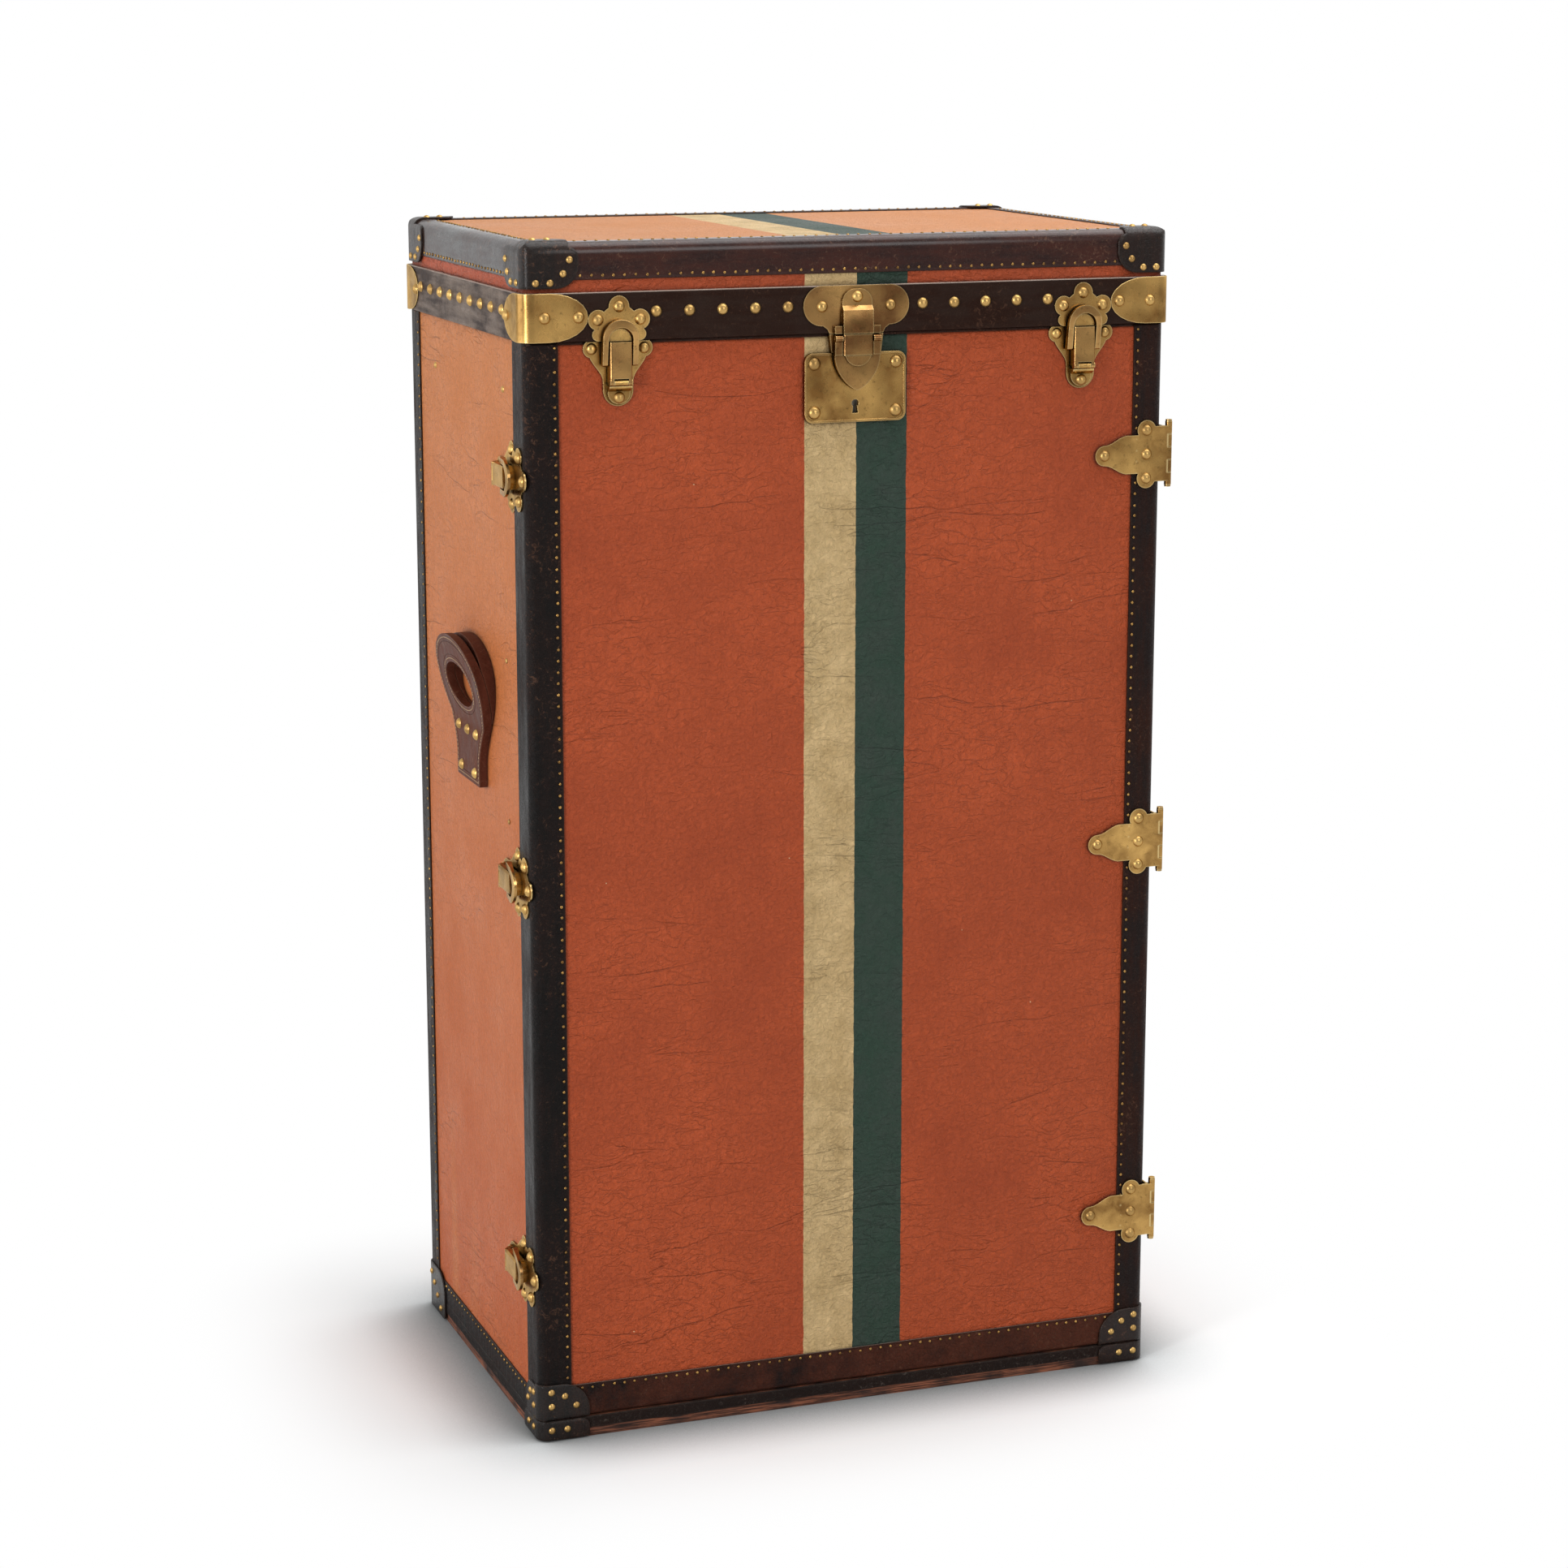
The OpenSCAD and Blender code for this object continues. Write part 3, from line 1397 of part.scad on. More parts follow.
wear_board();
plinth();
plinth_band();
foot_caps();
case_shell();
case_canvas();
case_binding();
case_lining();
closing_lips();
hanging_rail();
rail_crossbar();
rail_sockets();
handle_left();
handle_right();
handle_pads();
case_rivets();
side_hinge_leaves();
door_hinge_pins();
lid_hinge_lower_leaves();
lid_hinge_pins();
side_latch_bases();
side_latch_pins();
door_shell();
door_canvas();
door_binding();
door_lining();
door_caps();
door_rivets();
lock_plate();
lock_box();
hasp_saddle();
hasp_pin();
front_hinge_leaves();
front_latch_bases();
front_latch_pins();
side_catches();
lid_shell();
lid_canvas();
lid_binding();
lid_lining();
lid_belt();
belt_clamps();
lid_caps();
lid_rivets();
hasp_plate();
front_catches();
lid_hinge_upper_leaves();
hasp();
front_lever(-1);  // front_lever_left
front_lever(1);  // front_lever_right
side_lever(0);  // side_lever_top
side_lever(1);  // side_lever_middle
side_lever(2);  // side_lever_bottom
front_loop(-1);  // front_loop_left
front_loop(1);  // front_loop_right
side_loop(0);  // side_loop_top
side_loop(1);  // side_loop_middle
side_loop(2);  // side_loop_bottom
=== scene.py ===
"""Looks of an upright cabin trunk: painted canvas over board, leather edges, brass fittings.

Every length here is in metres, in the frame of the construction model. The trunk stands on z = 0, its front
faces -y and its latched side faces -x.
"""

import logging
import math
import random
from collections.abc import Callable
from dataclasses import dataclass
from enum import Enum
from functools import partial

import bpy
from mathutils import Euler, Matrix, Vector


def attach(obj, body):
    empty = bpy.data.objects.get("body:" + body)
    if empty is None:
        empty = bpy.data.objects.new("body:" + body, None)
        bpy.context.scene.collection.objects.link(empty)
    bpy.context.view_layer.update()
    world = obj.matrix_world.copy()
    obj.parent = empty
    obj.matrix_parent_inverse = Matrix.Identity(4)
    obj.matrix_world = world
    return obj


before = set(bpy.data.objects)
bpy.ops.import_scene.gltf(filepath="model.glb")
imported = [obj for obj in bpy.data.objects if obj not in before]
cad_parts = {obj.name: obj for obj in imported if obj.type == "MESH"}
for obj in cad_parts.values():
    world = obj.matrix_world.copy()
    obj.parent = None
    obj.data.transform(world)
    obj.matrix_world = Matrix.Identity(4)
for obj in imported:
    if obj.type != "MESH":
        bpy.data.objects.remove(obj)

log = logging.getLogger("cabin_trunk")

Flat = tuple[float, float]
Point = tuple[float, float, float]
Line = tuple[Point, Point, Point]
Spot = tuple[Vector, Vector]
Socket = bpy.types.NodeSocket
Surface = tuple[Socket, Socket, Socket]
Put = Callable[..., bpy.types.NodeOutputs]

MM = 0.001
# Settings that many nodes share
SMOOTH = {"interpolation_type": "SMOOTHSTEP"}
COLOURS = {"data_type": "RGBA"}
TIMES = {"operation": "MULTIPLY"}
TIMES_PLUS = {"operation": "MULTIPLY_ADD"}
LARGER = {"operation": "MAXIMUM"}
OWN_FRAME = {"vector_type": "NORMAL", "convert_from": "WORLD", "convert_to": "OBJECT"}
# Stretch of the rubbing along a strip that lies level, and along one that stands
LEVEL = (0.16, 0.16, 1.0)
UPRIGHT = (1.0, 1.0, 0.16)


class Body(str, Enum):
    """The moving bodies that new pieces ride on."""

    CASE = "case"
    DOOR = "door"
    LID = "lid"


class Slot(str, Enum):
    """The material slots of the record."""

    BROWN_LEATHER = "brown_leather"
    BRASS = "brass"


def linear(hex_colour: str) -> tuple[float, float, float, float]:
    """Turns an sRGB hex colour into the linear colour that a shader takes.

    Args:
        hex_colour: six hex digits after a hash sign.

    Returns:
        Red, green and blue in linear light, and an alpha of 1.
    """
    shares = [int(hex_colour[i : i + 2], 16) / 255 for i in (1, 3, 5)]
    red, green, blue = [s / 12.92 if s <= 0.04045 else ((s + 0.055) / 1.055) ** 2.4 for s in shares]
    return red, green, blue, 1.0


def add_node(tree: bpy.types.NodeTree, kind: str, links: dict | None = None,
    **settings: object) -> bpy.types.NodeOutputs:
    """Adds one node to a tree.

    Args:
        tree: the node tree.
        kind: Blender's name for the type of node, without its first word ShaderNode.
        links: input sockets by name or number, each with the output that feeds it or with its value. A
            colour may be given as sRGB hex.
        **settings: the node's own properties by name.

    Returns:
        The outputs of the new node.
    """
    node = tree.nodes.new(f"ShaderNode{kind}")
    for name, value in settings.items():
        setattr(node, name, value)
    for socket, value in (links or {}).items():
        if isinstance(value, Socket):
            tree.links.new(value, node.inputs[socket])
        else:
            node.inputs[socket].default_value = linear(value) if isinstance(value, str) else value
    return node.outputs


def fresh_nodes(owner: bpy.types.ID) -> Put:
    """Empties the node tree of a material or a world.

    Args:
        owner: the material or the world.

    Returns:
        The function that adds a node to its tree.
    """
    owner.use_nodes = True
    owner.node_tree.nodes.clear()
    return partial(add_node, owner.node_tree)


@dataclass(frozen=True)
class Finish:
    """A finish: its name, and the numbers of its shader that are the same all over."""

    name: str
    metallic: float = 0.0
    specular: float = 0.5
    relief: float = 0.1 * MM
    coat: float = 0.0
    coat_roughness: float = 0.2
    sheen: float = 0.0
    tint: str = "#FFFFFF"
    rounding: float = 0.0

    def surface(self, put: Put, place: Socket) -> Surface:
        """Adds the nodes of this finish.

        Args:
            put: adds a node to the tree.
            place: the object coordinates, in metres.

        Returns:
            The colour, the roughness and the height of the relief from 0 to 1.
        """
        raise NotImplementedError

    def material(self) -> bpy.types.Material:
        """Makes the material once, and gives the same one after that.

        Returns:
            The material.
        """
        made = bpy.data.materials.get(self.name)
        if made:
            return made
        made = bpy.data.materials.new(self.name)
        put = fresh_nodes(made)
        colour, roughness, height = self.surface(put, put("TexCoord")["Object"])
        under, over = {}, {}
        if self.rounding:
            # Light runs round the outer edges, which are softer than the construction draws them
            edge = put("Bevel", {"Radius": self.rounding}, samples=6)[0]
            under, over = {"Normal": edge}, {"Coat Normal": edge}
        bump = put("Bump", {"Height": height, "Distance": self.relief, "Strength": 1.0} | under)[0]
        shader = put("BsdfPrincipled", {"Base Color": colour, "Roughness": roughness, "Normal": bump,
            "Metallic": self.metallic, "Specular IOR Level": self.specular, "Coat Weight": self.coat,
            "Coat Roughness": self.coat_roughness, "Sheen Weight": self.sheen,
            "Specular Tint": self.tint} | over)[0]
        put("OutputMaterial", {"Surface": shader})
        return made


@dataclass(frozen=True)
class PaintedCanvas(Finish):
    """Cotton canvas glued to board and painted: satin, with a pebbled grain, brush marks and thin creases."""

    paint: str = "#BC532A"
    shade: str = "#A94926"
    lit_paint: str = "#CE8C57"
    lit_top: float = 0.0
    lit_upward: float = 0.0
    streak: float = 0.0
    striped: bool = True
    stripe_left: float = -47.8 * MM
    stripe_middle: float = 2.4 * MM
    stripe_right: float = 51.6 * MM
    cream: str = "#DDBE8A"
    green: str = "#294033"
    relief: float = 3.0 * MM
    specular: float = 0.25

    def surface(self, put: Put, place: Socket) -> Surface:
        """Paints the canvas. See Finish.surface."""
        # Clouds of thinner and thicker paint, from 120 mm down to 4 mm across
        cloud = put("TexNoise", {"Vector": place, "Scale": 8.0, "Detail": 6.0, "Roughness": 0.65})[0]
        patch = put("MapRange", {"Value": cloud, "From Min": 0.36, "From Max": 0.64})[0]
        # Brush marks run up and down: 4 mm wide, 60 mm long
        strokes = put("Mapping", {"Vector": place, "Scale": (1.0, 1.0, 0.07)})[0]
        brush = put("TexNoise", {"Vector": strokes, "Scale": 240.0, "Detail": 3.0})[0]
        # The threads are 0.5 mm apart: drawn as a 3 mm pebbled grain, which shows in the picture
        grain = put("TexNoise", {"Vector": place, "Scale": 270.0, "Detail": 5.0, "Roughness": 0.6,
            "Distortion": 0.7})[0]
        base = put("Mix", {0: patch, 6: self.shade, 7: self.paint}, **COLOURS)[2]
        base = self.painted_light(put, place, base)
        if self.striped:
            base = self.stripes(put, place, base)
        # Chips of the paint: pale points of 1 mm, some 40 mm apart
        cell = put("TexVoronoi", {"Vector": place, "Scale": 26.0})["Distance"]
        chip = put("MapRange", {"Value": cell, "From Min": 0.012, "From Max": 0.02, "To Min": 1.0,
            "To Max": 0.0})[0]
        base = put("Mix", {0: chip, 6: base, 7: "#DDBB93"}, **COLOURS)[2]
        tone = put("MapRange", {"Value": brush, "From Min": 0.3, "From Max": 0.7, "To Min": 0.98,
            "To Max": 1.02})[0]
        fleck = put("MapRange", {"Value": grain, "From Min": 0.3, "From Max": 0.7, "To Min": 0.87,
            "To Max": 1.11})[0]
        # Painted shade and dirt darken the canvas along the leather and round the fittings, 7 mm wide
        corner = put("AmbientOcclusion", {"Distance": 7 * MM}, samples=6)["AO"]
        shade_and_dirt = put("MapRange", {"Value": corner, "From Min": 0.35, "From Max": 0.97, "To Min": 0.35},
            **SMOOTH)[0]
        colour = base
        for share in (tone, fleck, shade_and_dirt):
            colour = put("VectorMath", {0: colour, "Scale": share}, operation="SCALE")[0]
        roughness = put("MapRange", {"Value": cloud, "From Min": 0.3, "From Max": 0.7, "To Min": 0.6,
            "To Max": 0.42})[0]
        # Short wrinkles of the paint, 1 mm wide and 10 mm long
        across = put("Mapping", {"Vector": place, "Scale": (0.5, 0.5, 1.0)})[0]
        ripple = put("TexNoise", {"Vector": across, "Scale": 90.0, "Detail": 4.0, "Distortion": 0.5})[0]
        ripple = put("Math", {0: ripple, 1: 0.5}, operation="SUBTRACT")[0]
        ripple = put("Math", {0: ripple}, operation="ABSOLUTE")[0]
        ripple = put("MapRange", {"Value": ripple, "From Max": 0.035, "To Min": 0.32, "To Max": 0.0},
            **SMOOTH)[0]
        ripple = put("Math", {0: ripple, 1: patch}, **TIMES)[0]
        ripple = put("Math", {0: ripple, 1: grain}, operation="ADD")[0]
        fold = put("Math", {0: self.creases(put, place, cloud), 1: -0.48, 2: ripple}, **TIMES_PLUS)[0]
        height = put("Math", {0: brush, 1: 0.06, 2: fold}, **TIMES_PLUS)[0]
        return colour, roughness, height

    def creases(self, put: Put, place: Socket, cloud: Socket) -> Socket:
        """Draws thin creases that lie across the canvas, about 1 mm wide and 100 mm long.

        Args:
            put: adds a node to the tree.
            place: the object coordinates.
            cloud: the clouds of paint, where the creases thin out.

        Returns:
            1 in a crease, 0 beside it.
        """
        across = put("Mapping", {"Vector": place, "Scale": (0.22, 0.22, 1.0)})[0]
        level = put("TexNoise", {"Vector": across, "Scale": 17.0, "Detail": 4.0, "Distortion": 0.3})[0]
        off = put("Math", {0: level, 1: 0.5}, operation="SUBTRACT")[0]
        off = put("Math", {0: off}, operation="ABSOLUTE")[0]
        line = put("MapRange", {"Value": off, "From Max": 0.008, "To Min": 1.0, "To Max": 0.0})[0]
        sparse = put("MapRange", {"Value": cloud, "From Min": 0.42, "From Max": 0.6})[0]
        return put("Math", {0: line, 1: sparse}, **TIMES)[0]

    def painted_light(self, put: Put, place: Socket, ground: Socket) -> Socket:
        """Lays painted light on the paint: pale streaks of painted sheen 60 mm wide down the sides, a paler
        top, and paler towards the top.

        Args:
            put: adds a node to the tree.
            place: the object coordinates.
            ground: the colour of the paint.

        Returns:
            The faded colour.
        """
        # Painted sheen: pale streaks 60 mm wide down the sides
        falls = put("Mapping", {"Vector": place, "Scale": (1.0, 1.0, 0.05)})[0]
        fall = put("TexNoise", {"Vector": falls, "Scale": 17.0, "Detail": 1.0})[0]
        share = put("MapRange", {"Value": fall, "From Min": 0.48, "From Max": 0.72, "To Max": self.streak})[0]
        # Painted light: a top that faces up is paler. The normal is taken in the piece's own frame, so that an
        # opened lid keeps its pale top
        facing = put("VectorTransform", {0: put("NewGeometry")["True Normal"]}, **OWN_FRAME)[0]
        upward = put("SeparateXYZ", {0: facing})[2]
        top = put("MapRange", {"Value": upward, "From Min": 0.4, "From Max": 0.95, "To Max": self.lit_top})[0]
        share = put("Math", {0: share, 1: top}, **LARGER)[0]
        # Painted light: the paint is paler towards the top
        z = put("SeparateXYZ", {0: place})[2]
        lit_rise = put("MapRange", {"Value": z, "From Min": 0.1, "From Max": 1.0, "To Max": self.lit_upward})[0]
        share = put("Math", {0: share, 1: lit_rise}, **LARGER)[0]
        return put("Mix", {0: share, 6: ground, 7: self.lit_paint}, **COLOURS)[2]

    def stripes(self, put: Put, place: Socket, ground: Socket) -> Socket:
        """Lays the cream and the green stripe over the ground.

        Args:
            put: adds a node to the tree.
            place: the object coordinates.
            ground: the colour of the ground.

        Returns:
            The colour with its stripes.
        """
        # Hand painted edges wander by about 0.6 mm
        wander = put("TexNoise", {"Vector": place, "Scale": 90.0, "Detail": 2.0})[0]
        shift = put("MapRange", {"Value": wander, "To Min": -0.9 * MM, "To Max": 0.9 * MM})[0]
        x = put("SeparateXYZ", {0: place})[0]
        x = put("Math", {0: x, 1: shift}, operation="ADD")[0]
        stain = put("TexNoise", {"Vector": place, "Scale": 30.0, "Detail": 6.0, "Roughness": 0.7})[0]
        stain = put("MapRange", {"Value": stain, "From Min": 0.35, "From Max": 0.75})[0]
        for left, right, paint, dirt in (
                (self.stripe_left, self.stripe_middle, self.cream, "#B59765"),
                (self.stripe_middle, self.stripe_right, self.green, "#37423A")):
            paint = put("Mix", {0: stain, 6: paint, 7: dirt}, **COLOURS)[2]
            after = put("Math", {0: x, 1: left}, operation="GREATER_THAN")[0]
            before = put("Math", {0: x, 1: right}, operation="LESS_THAN")[0]
            inside = put("Math", {0: after, 1: before}, **TIMES)[0]
            ground = put("Mix", {0: inside, 6: ground, 7: paint}, **COLOURS)[2]
        return ground


@dataclass(frozen=True)
class EdgeLeather(Finish):
    """Vegetable tanned cowhide, dyed, waxed and rubbed for a century: nearly black, brown where worn."""

    dark: str = "#110E0D"
    brown: str = "#1E1412"
    red: str = "#2C1712"
    scuff: str = "#6A4B3A"
    run: Point = UPRIGHT
    red_from: float = -283 * MM
    shod_to: float = 0.0
    bare_and_lit_top: float = 0.0
    pale_edge_below: float = 2.0
    wear: float = 0.5
    rough: float = 0.4
    relief: float = 0.35 * MM
    specular: float = 0.1
    coat: float = 0.0
    coat_roughness: float = 0.15

    def surface(self, put: Put, place: Socket) -> Surface:
        """Dyes and wears the leather. See Finish.surface."""
        # Tone changes over about 90 mm and 20 mm
        tone = put("TexNoise", {"Vector": place, "Scale": 11.0, "Detail": 6.0, "Roughness": 0.65})[0]
        # Rubbing runs along the strip: 8 mm wide, 50 mm long
        along = put("Mapping", {"Vector": place, "Scale": self.run})[0]
        streak = put("TexNoise", {"Vector": along, "Scale": 120.0, "Detail": 5.0, "Roughness": 0.6})[0]
        both = put("Math", {0: tone, 1: streak}, operation="ADD")[0]
        patch = put("MapRange", {"Value": both, "From Min": 0.84, "From Max": 1.18})[0]
        dark = put("Mix", {0: patch, 6: self.dark, 7: self.brown}, **COLOURS)[2]
        warm = put("Mix", {0: patch, 6: self.brown, 7: self.red}, **COLOURS)[2]
        # The leather of the latched side went black, the rest stayed brown; on the belt that side is pale grey
        # brown instead, a painted sheen
        spot = put("SeparateXYZ", {0: place})
        side = put("MapRange", {"Value": spot[0], "From Min": self.red_from,
            "From Max": self.red_from + 6 * MM}, **SMOOTH)[0]
        hide = put("Mix", {0: side, 6: dark, 7: warm}, **COLOURS)[2]
        # Shoes rubbed the strips along the foot to a red brown
        low = put("MapRange", {"Value": spot[2], "From Min": self.shod_to, "From Max": self.shod_to - 5 * MM},
            **SMOOTH)[0]
        cloud = put("MapRange", {"Value": tone, "From Min": 0.36, "From Max": 0.58})[0]
        low = put("Math", {0: low, 1: cloud}, **TIMES)[0]
        # The upper edge of a strip is paler where it faces up: the bare cut hide, and a painted highlight of
        # the light from above
        facing = put("VectorTransform", {0: put("NewGeometry")["Normal"]}, **OWN_FRAME)[0]
        upward = put("SeparateXYZ", {0: facing})[2]
        bare_and_lit = put("MapRange", {"Value": upward, "From Min": 0.35, "From Max": 0.8, "To Max": self.bare_and_lit_top})[0]
        below = put("Math", {0: spot[2], 1: self.pale_edge_below}, operation="LESS_THAN")[0]
        bare_and_lit = put("Math", {0: bare_and_lit, 1: below}, **TIMES)[0]
        worn, crack, rub = self.wearing(put, place, tone)
        for share, tint in ((low, "#50291C"), (bare_and_lit, "#C0ADA0"), (worn, self.scuff)):
            hide = put("Mix", {0: share, 6: hide, 7: tint}, **COLOURS)[2]
        # Painted shade: the leather is darker up to 2.5 mm from another surface
        hollow_shade = put("AmbientOcclusion", {"Distance": 2.5 * MM}, samples=4)["AO"]
        shade = put("MapRange", {"Value": hollow_shade, "From Min": 0.3, "From Max": 0.95, "To Min": 0.4})[0]
        colour = put("VectorMath", {0: hide, "Scale": shade}, operation="SCALE")[0]
        roughness = put("MapRange", {"Value": both, "From Min": 0.8, "From Max": 1.2,
            "To Min": self.rough - 0.1, "To Max": self.rough + 0.14})[0]
        # Handling leaves dents of about 10 mm as well as the grain
        dent = put("TexNoise", {"Vector": place, "Scale": 70.0, "Detail": 3.0})[0]
        height = rub
        for part, share in ((dent, 2.2), (crack, -0.5), (worn, -0.3)):
            height = put("Math", {0: part, 1: share, 2: height}, **TIMES_PLUS)[0]
        return colour, roughness, height

    def wearing(self, put: Put, place: Socket, tone: Socket) -> Surface:
        """Wears the dye through in sharp flecks, along fine cracks and on every outer edge.

        Args:
            put: adds a node to the tree.
            place: the object coordinates.
            tone: the broad changes of tone, which gather the wear.

        Returns:
            How far the dye is gone, the cracks, and the grain of the skin.
        """
        # Flecks of 1 to 5 mm
        rub = put("TexNoise", {"Vector": place, "Scale": 210.0, "Detail": 7.0, "Roughness": 0.72,
            "Distortion": 0.9})[0]
        gathered = put("Math", {0: tone, 1: 0.45, 2: rub}, **TIMES_PLUS)[0]
        fleck = put("MapRange", {"Value": gathered, "From Min": 0.83, "From Max": 0.89, "To Max": self.wear})[0]
        # Cracks 4 mm apart, bent by a finer noise
        bend = put("TexNoise", {"Vector": place, "Scale": 160.0, "Detail": 2.0})["Color"]
        bent = put("Mix", {0: 0.005, 6: place, 7: bend}, **COLOURS, blend_type="LINEAR_LIGHT")[2]
        cell = put("TexVoronoi", {"Vector": bent, "Scale": 230.0}, feature="DISTANCE_TO_EDGE")[0]
        crack = put("MapRange", {"Value": cell, "From Max": 0.07, "To Min": 1.0, "To Max": 0.0})[0]
        dry = put("MapRange", {"Value": gathered, "From Min": 0.66, "From Max": 0.82,
            "To Max": 0.4 * self.wear})[0]
        split = put("Math", {0: crack, 1: dry}, **TIMES)[0]
        # The outer edges are rubbed bare, 1 mm wide
        inner = put("AmbientOcclusion", {"Distance": 1.2 * MM}, samples=4, inside=True)["AO"]
        edge = put("MapRange", {"Value": inner, "From Min": 0.9, "From Max": 0.55, "To Max": self.wear})[0]
        edge = put("Math", {0: edge, 1: rub}, **TIMES)[0]
        worn = fleck
        for part in (split, edge):
            worn = put("Math", {0: worn, 1: part}, **LARGER)[0]
        return worn, crack, rub


@dataclass(frozen=True)
class AgedBrass(Finish):
    """Pressed brass, never lacquered: golden where hands rub it, spotted olive brown, and darker in its hollows
    with dirt and painted shade.
    """

    bright: str = "#C9A05E"
    worn: str = "#7D5A30"
    dark: str = "#3A2C17"
    rubbed: str = "#E2C88E"
    rubbing: float = 0.7
    tarnish: float = 0.5
    rough: float = 0.26
    metallic: float = 1.0
    tint: str = "#F7EBD2"
    relief: float = 0.04 * MM

    def surface(self, put: Put, place: Socket) -> Surface:
        """Tarnishes the brass. See Finish.surface."""
        # Stains of 5 to 20 mm
        stain = put("TexNoise", {"Vector": place, "Scale": 75.0, "Detail": 6.0, "Roughness": 0.6,
            "Distortion": 0.5})[0]
        # and broader ones of 50 mm
        broad = put("TexNoise", {"Vector": place, "Scale": 20.0, "Detail": 2.0})[0]
        rub = put("Math", {0: stain, 1: 0.45, 2: broad}, **TIMES_PLUS)[0]
        rub = put("MapRange", {"Value": rub, "From Min": 0.56, "From Max": 0.9})[0]
        metal = put("Mix", {0: rub, 6: self.worn, 7: self.bright}, **COLOURS)[2]
        spot = put("TexNoise", {"Vector": place, "Scale": 240.0, "Detail": 6.0, "Roughness": 0.65})[0]
        spot = put("MapRange", {"Value": spot, "From Min": 0.54, "From Max": 0.74, "To Max": self.tarnish},
            **SMOOTH)[0]
        metal = put("Mix", {0: spot, 6: metal, 7: self.dark}, **COLOURS)[2]
        # Hands keep the outer edges bright, 1 mm wide
        inner = put("AmbientOcclusion", {"Distance": 1.2 * MM}, samples=4, inside=True)["AO"]
        edge = put("MapRange", {"Value": inner, "From Min": 0.9, "From Max": 0.5, "To Max": self.rubbing})[0]
        metal = put("Mix", {0: edge, 6: metal, 7: self.rubbed}, **COLOURS)[2]
        # Dirt and painted shade darken the corners, up to 4 mm from another surface
        corner = put("AmbientOcclusion", {"Distance": 4 * MM}, samples=6)["AO"]
        dirt = put("MapRange", {"Value": corner, "From Min": 0.3, "From Max": 0.92, "To Min": 0.95,
            "To Max": 0.0}, **SMOOTH)[0]
        colour = put("Mix", {0: dirt, 6: metal, 7: "#231A0C"}, **COLOURS)[2]
        roughness = put("MapRange", {"Value": stain, "From Min": 0.3, "From Max": 0.7,
            "To Min": self.rough + 0.1, "To Max": self.rough - 0.08})[0]
        # Pressing and use left dents of 40 mm, which bend what it mirrors
        dent = put("TexNoise", {"Vector": place, "Scale": 24.0, "Detail": 1.0})[0]
        height = put("Math", {0: dent, 1: 50.0, 2: stain}, **TIMES_PLUS)[0]
        return colour, roughness, height


@dataclass(frozen=True)
class RoughWood(Finish):
    """Sawn poplar, stained and bruised: dry fibres along the edge, split lines, dark dirt."""

    light: str = "#8E5338"
    dark: str = "#2C1912"
    relief: float = 1.2 * MM

    def surface(self, put: Put, place: Socket) -> Surface:
        """Draws the fibres. See Finish.surface."""
        # Fibres lie level round the base: 1.2 mm high, 40 mm long
        along = put("Mapping", {"Vector": place, "Scale": (0.03, 0.03, 1.0)})[0]
        fibre = put("TexNoise", {"Vector": along, "Scale": 800.0, "Detail": 5.0, "Roughness": 0.7})[0]
        stain = put("TexNoise", {"Vector": place, "Scale": 26.0, "Detail": 5.0})[0]
        mixed = put("Math", {0: fibre, 1: stain}, **TIMES)[0]
        share = put("MapRange", {"Value": mixed, "From Min": 0.17, "From Max": 0.34})[0]
        colour = put("Mix", {0: share, 6: self.dark, 7: self.light}, **COLOURS)[2]
        roughness = put("MapRange", {"Value": fibre, "To Min": 0.85, "To Max": 0.6})[0]
        split = put("MapRange", {"Value": fibre, "From Min": 0.38, "From Max": 0.5})[0]
        height = put("Math", {0: split, 1: stain}, operation="ADD")[0]
        return colour, roughness, height


@dataclass(frozen=True)
class LiningCloth(Finish):
    """Unbleached linen glued to the board: matt, with slubs in both thread directions."""

    light: str = "#C4AE86"
    dark: str = "#A58E67"
    relief: float = 0.25 * MM
    sheen: float = 0.15

    def surface(self, put: Put, place: Socket) -> Surface:
        """Draws the threads. See Finish.surface."""
        # Threads are 0.6 mm apart: drawn as 1.5 mm slubs, which show in the picture
        threads = []
        for stretch in ((1.0, 1.0, 0.08), (0.08, 0.08, 1.0)):
            turned = put("Mapping", {"Vector": place, "Scale": stretch})[0]
            threads.append(put("TexNoise", {"Vector": turned, "Scale": 650.0, "Detail": 2.0})[0])
        weave = put("Math", {0: threads[0], 1: threads[1]}, operation="ADD")[0]
        old = put("TexNoise", {"Vector": place, "Scale": 5.0, "Detail": 5.0})[0]
        both = put("Math", {0: weave, 1: old}, **TIMES)[0]
        share = put("MapRange", {"Value": both, "From Min": 0.35, "From Max": 0.65})[0]
        colour = put("Mix", {0: share, 6: self.dark, 7: self.light}, **COLOURS)[2]
        roughness = put("MapRange", {"Value": weave, "To Min": 0.95, "To Max": 0.75})[0]
        return colour, roughness, weave


@dataclass(frozen=True)
class PlatedSteel(Finish):
    """Nickel plated steel: grey and soft, drawn lengthwise, a little pitted."""

    light: str = "#B5B2AA"
    dark: str = "#7A766E"
    metallic: float = 1.0
    relief: float = 0.06 * MM

    def surface(self, put: Put, place: Socket) -> Surface:
        """Dulls the plating. See Finish.surface."""
        # Pits of 1 to 3 mm and clouds of 40 mm
        pit = put("TexNoise", {"Vector": place, "Scale": 500.0, "Detail": 4.0})[0]
        cloud = put("TexNoise", {"Vector": place, "Scale": 25.0, "Detail": 4.0})[0]
        colour = put("Mix", {0: cloud, 6: self.dark, 7: self.light}, **COLOURS)[2]
        roughness = put("MapRange", {"Value": cloud, "To Min": 0.5, "To Max": 0.25})[0]
        return colour, roughness, pit


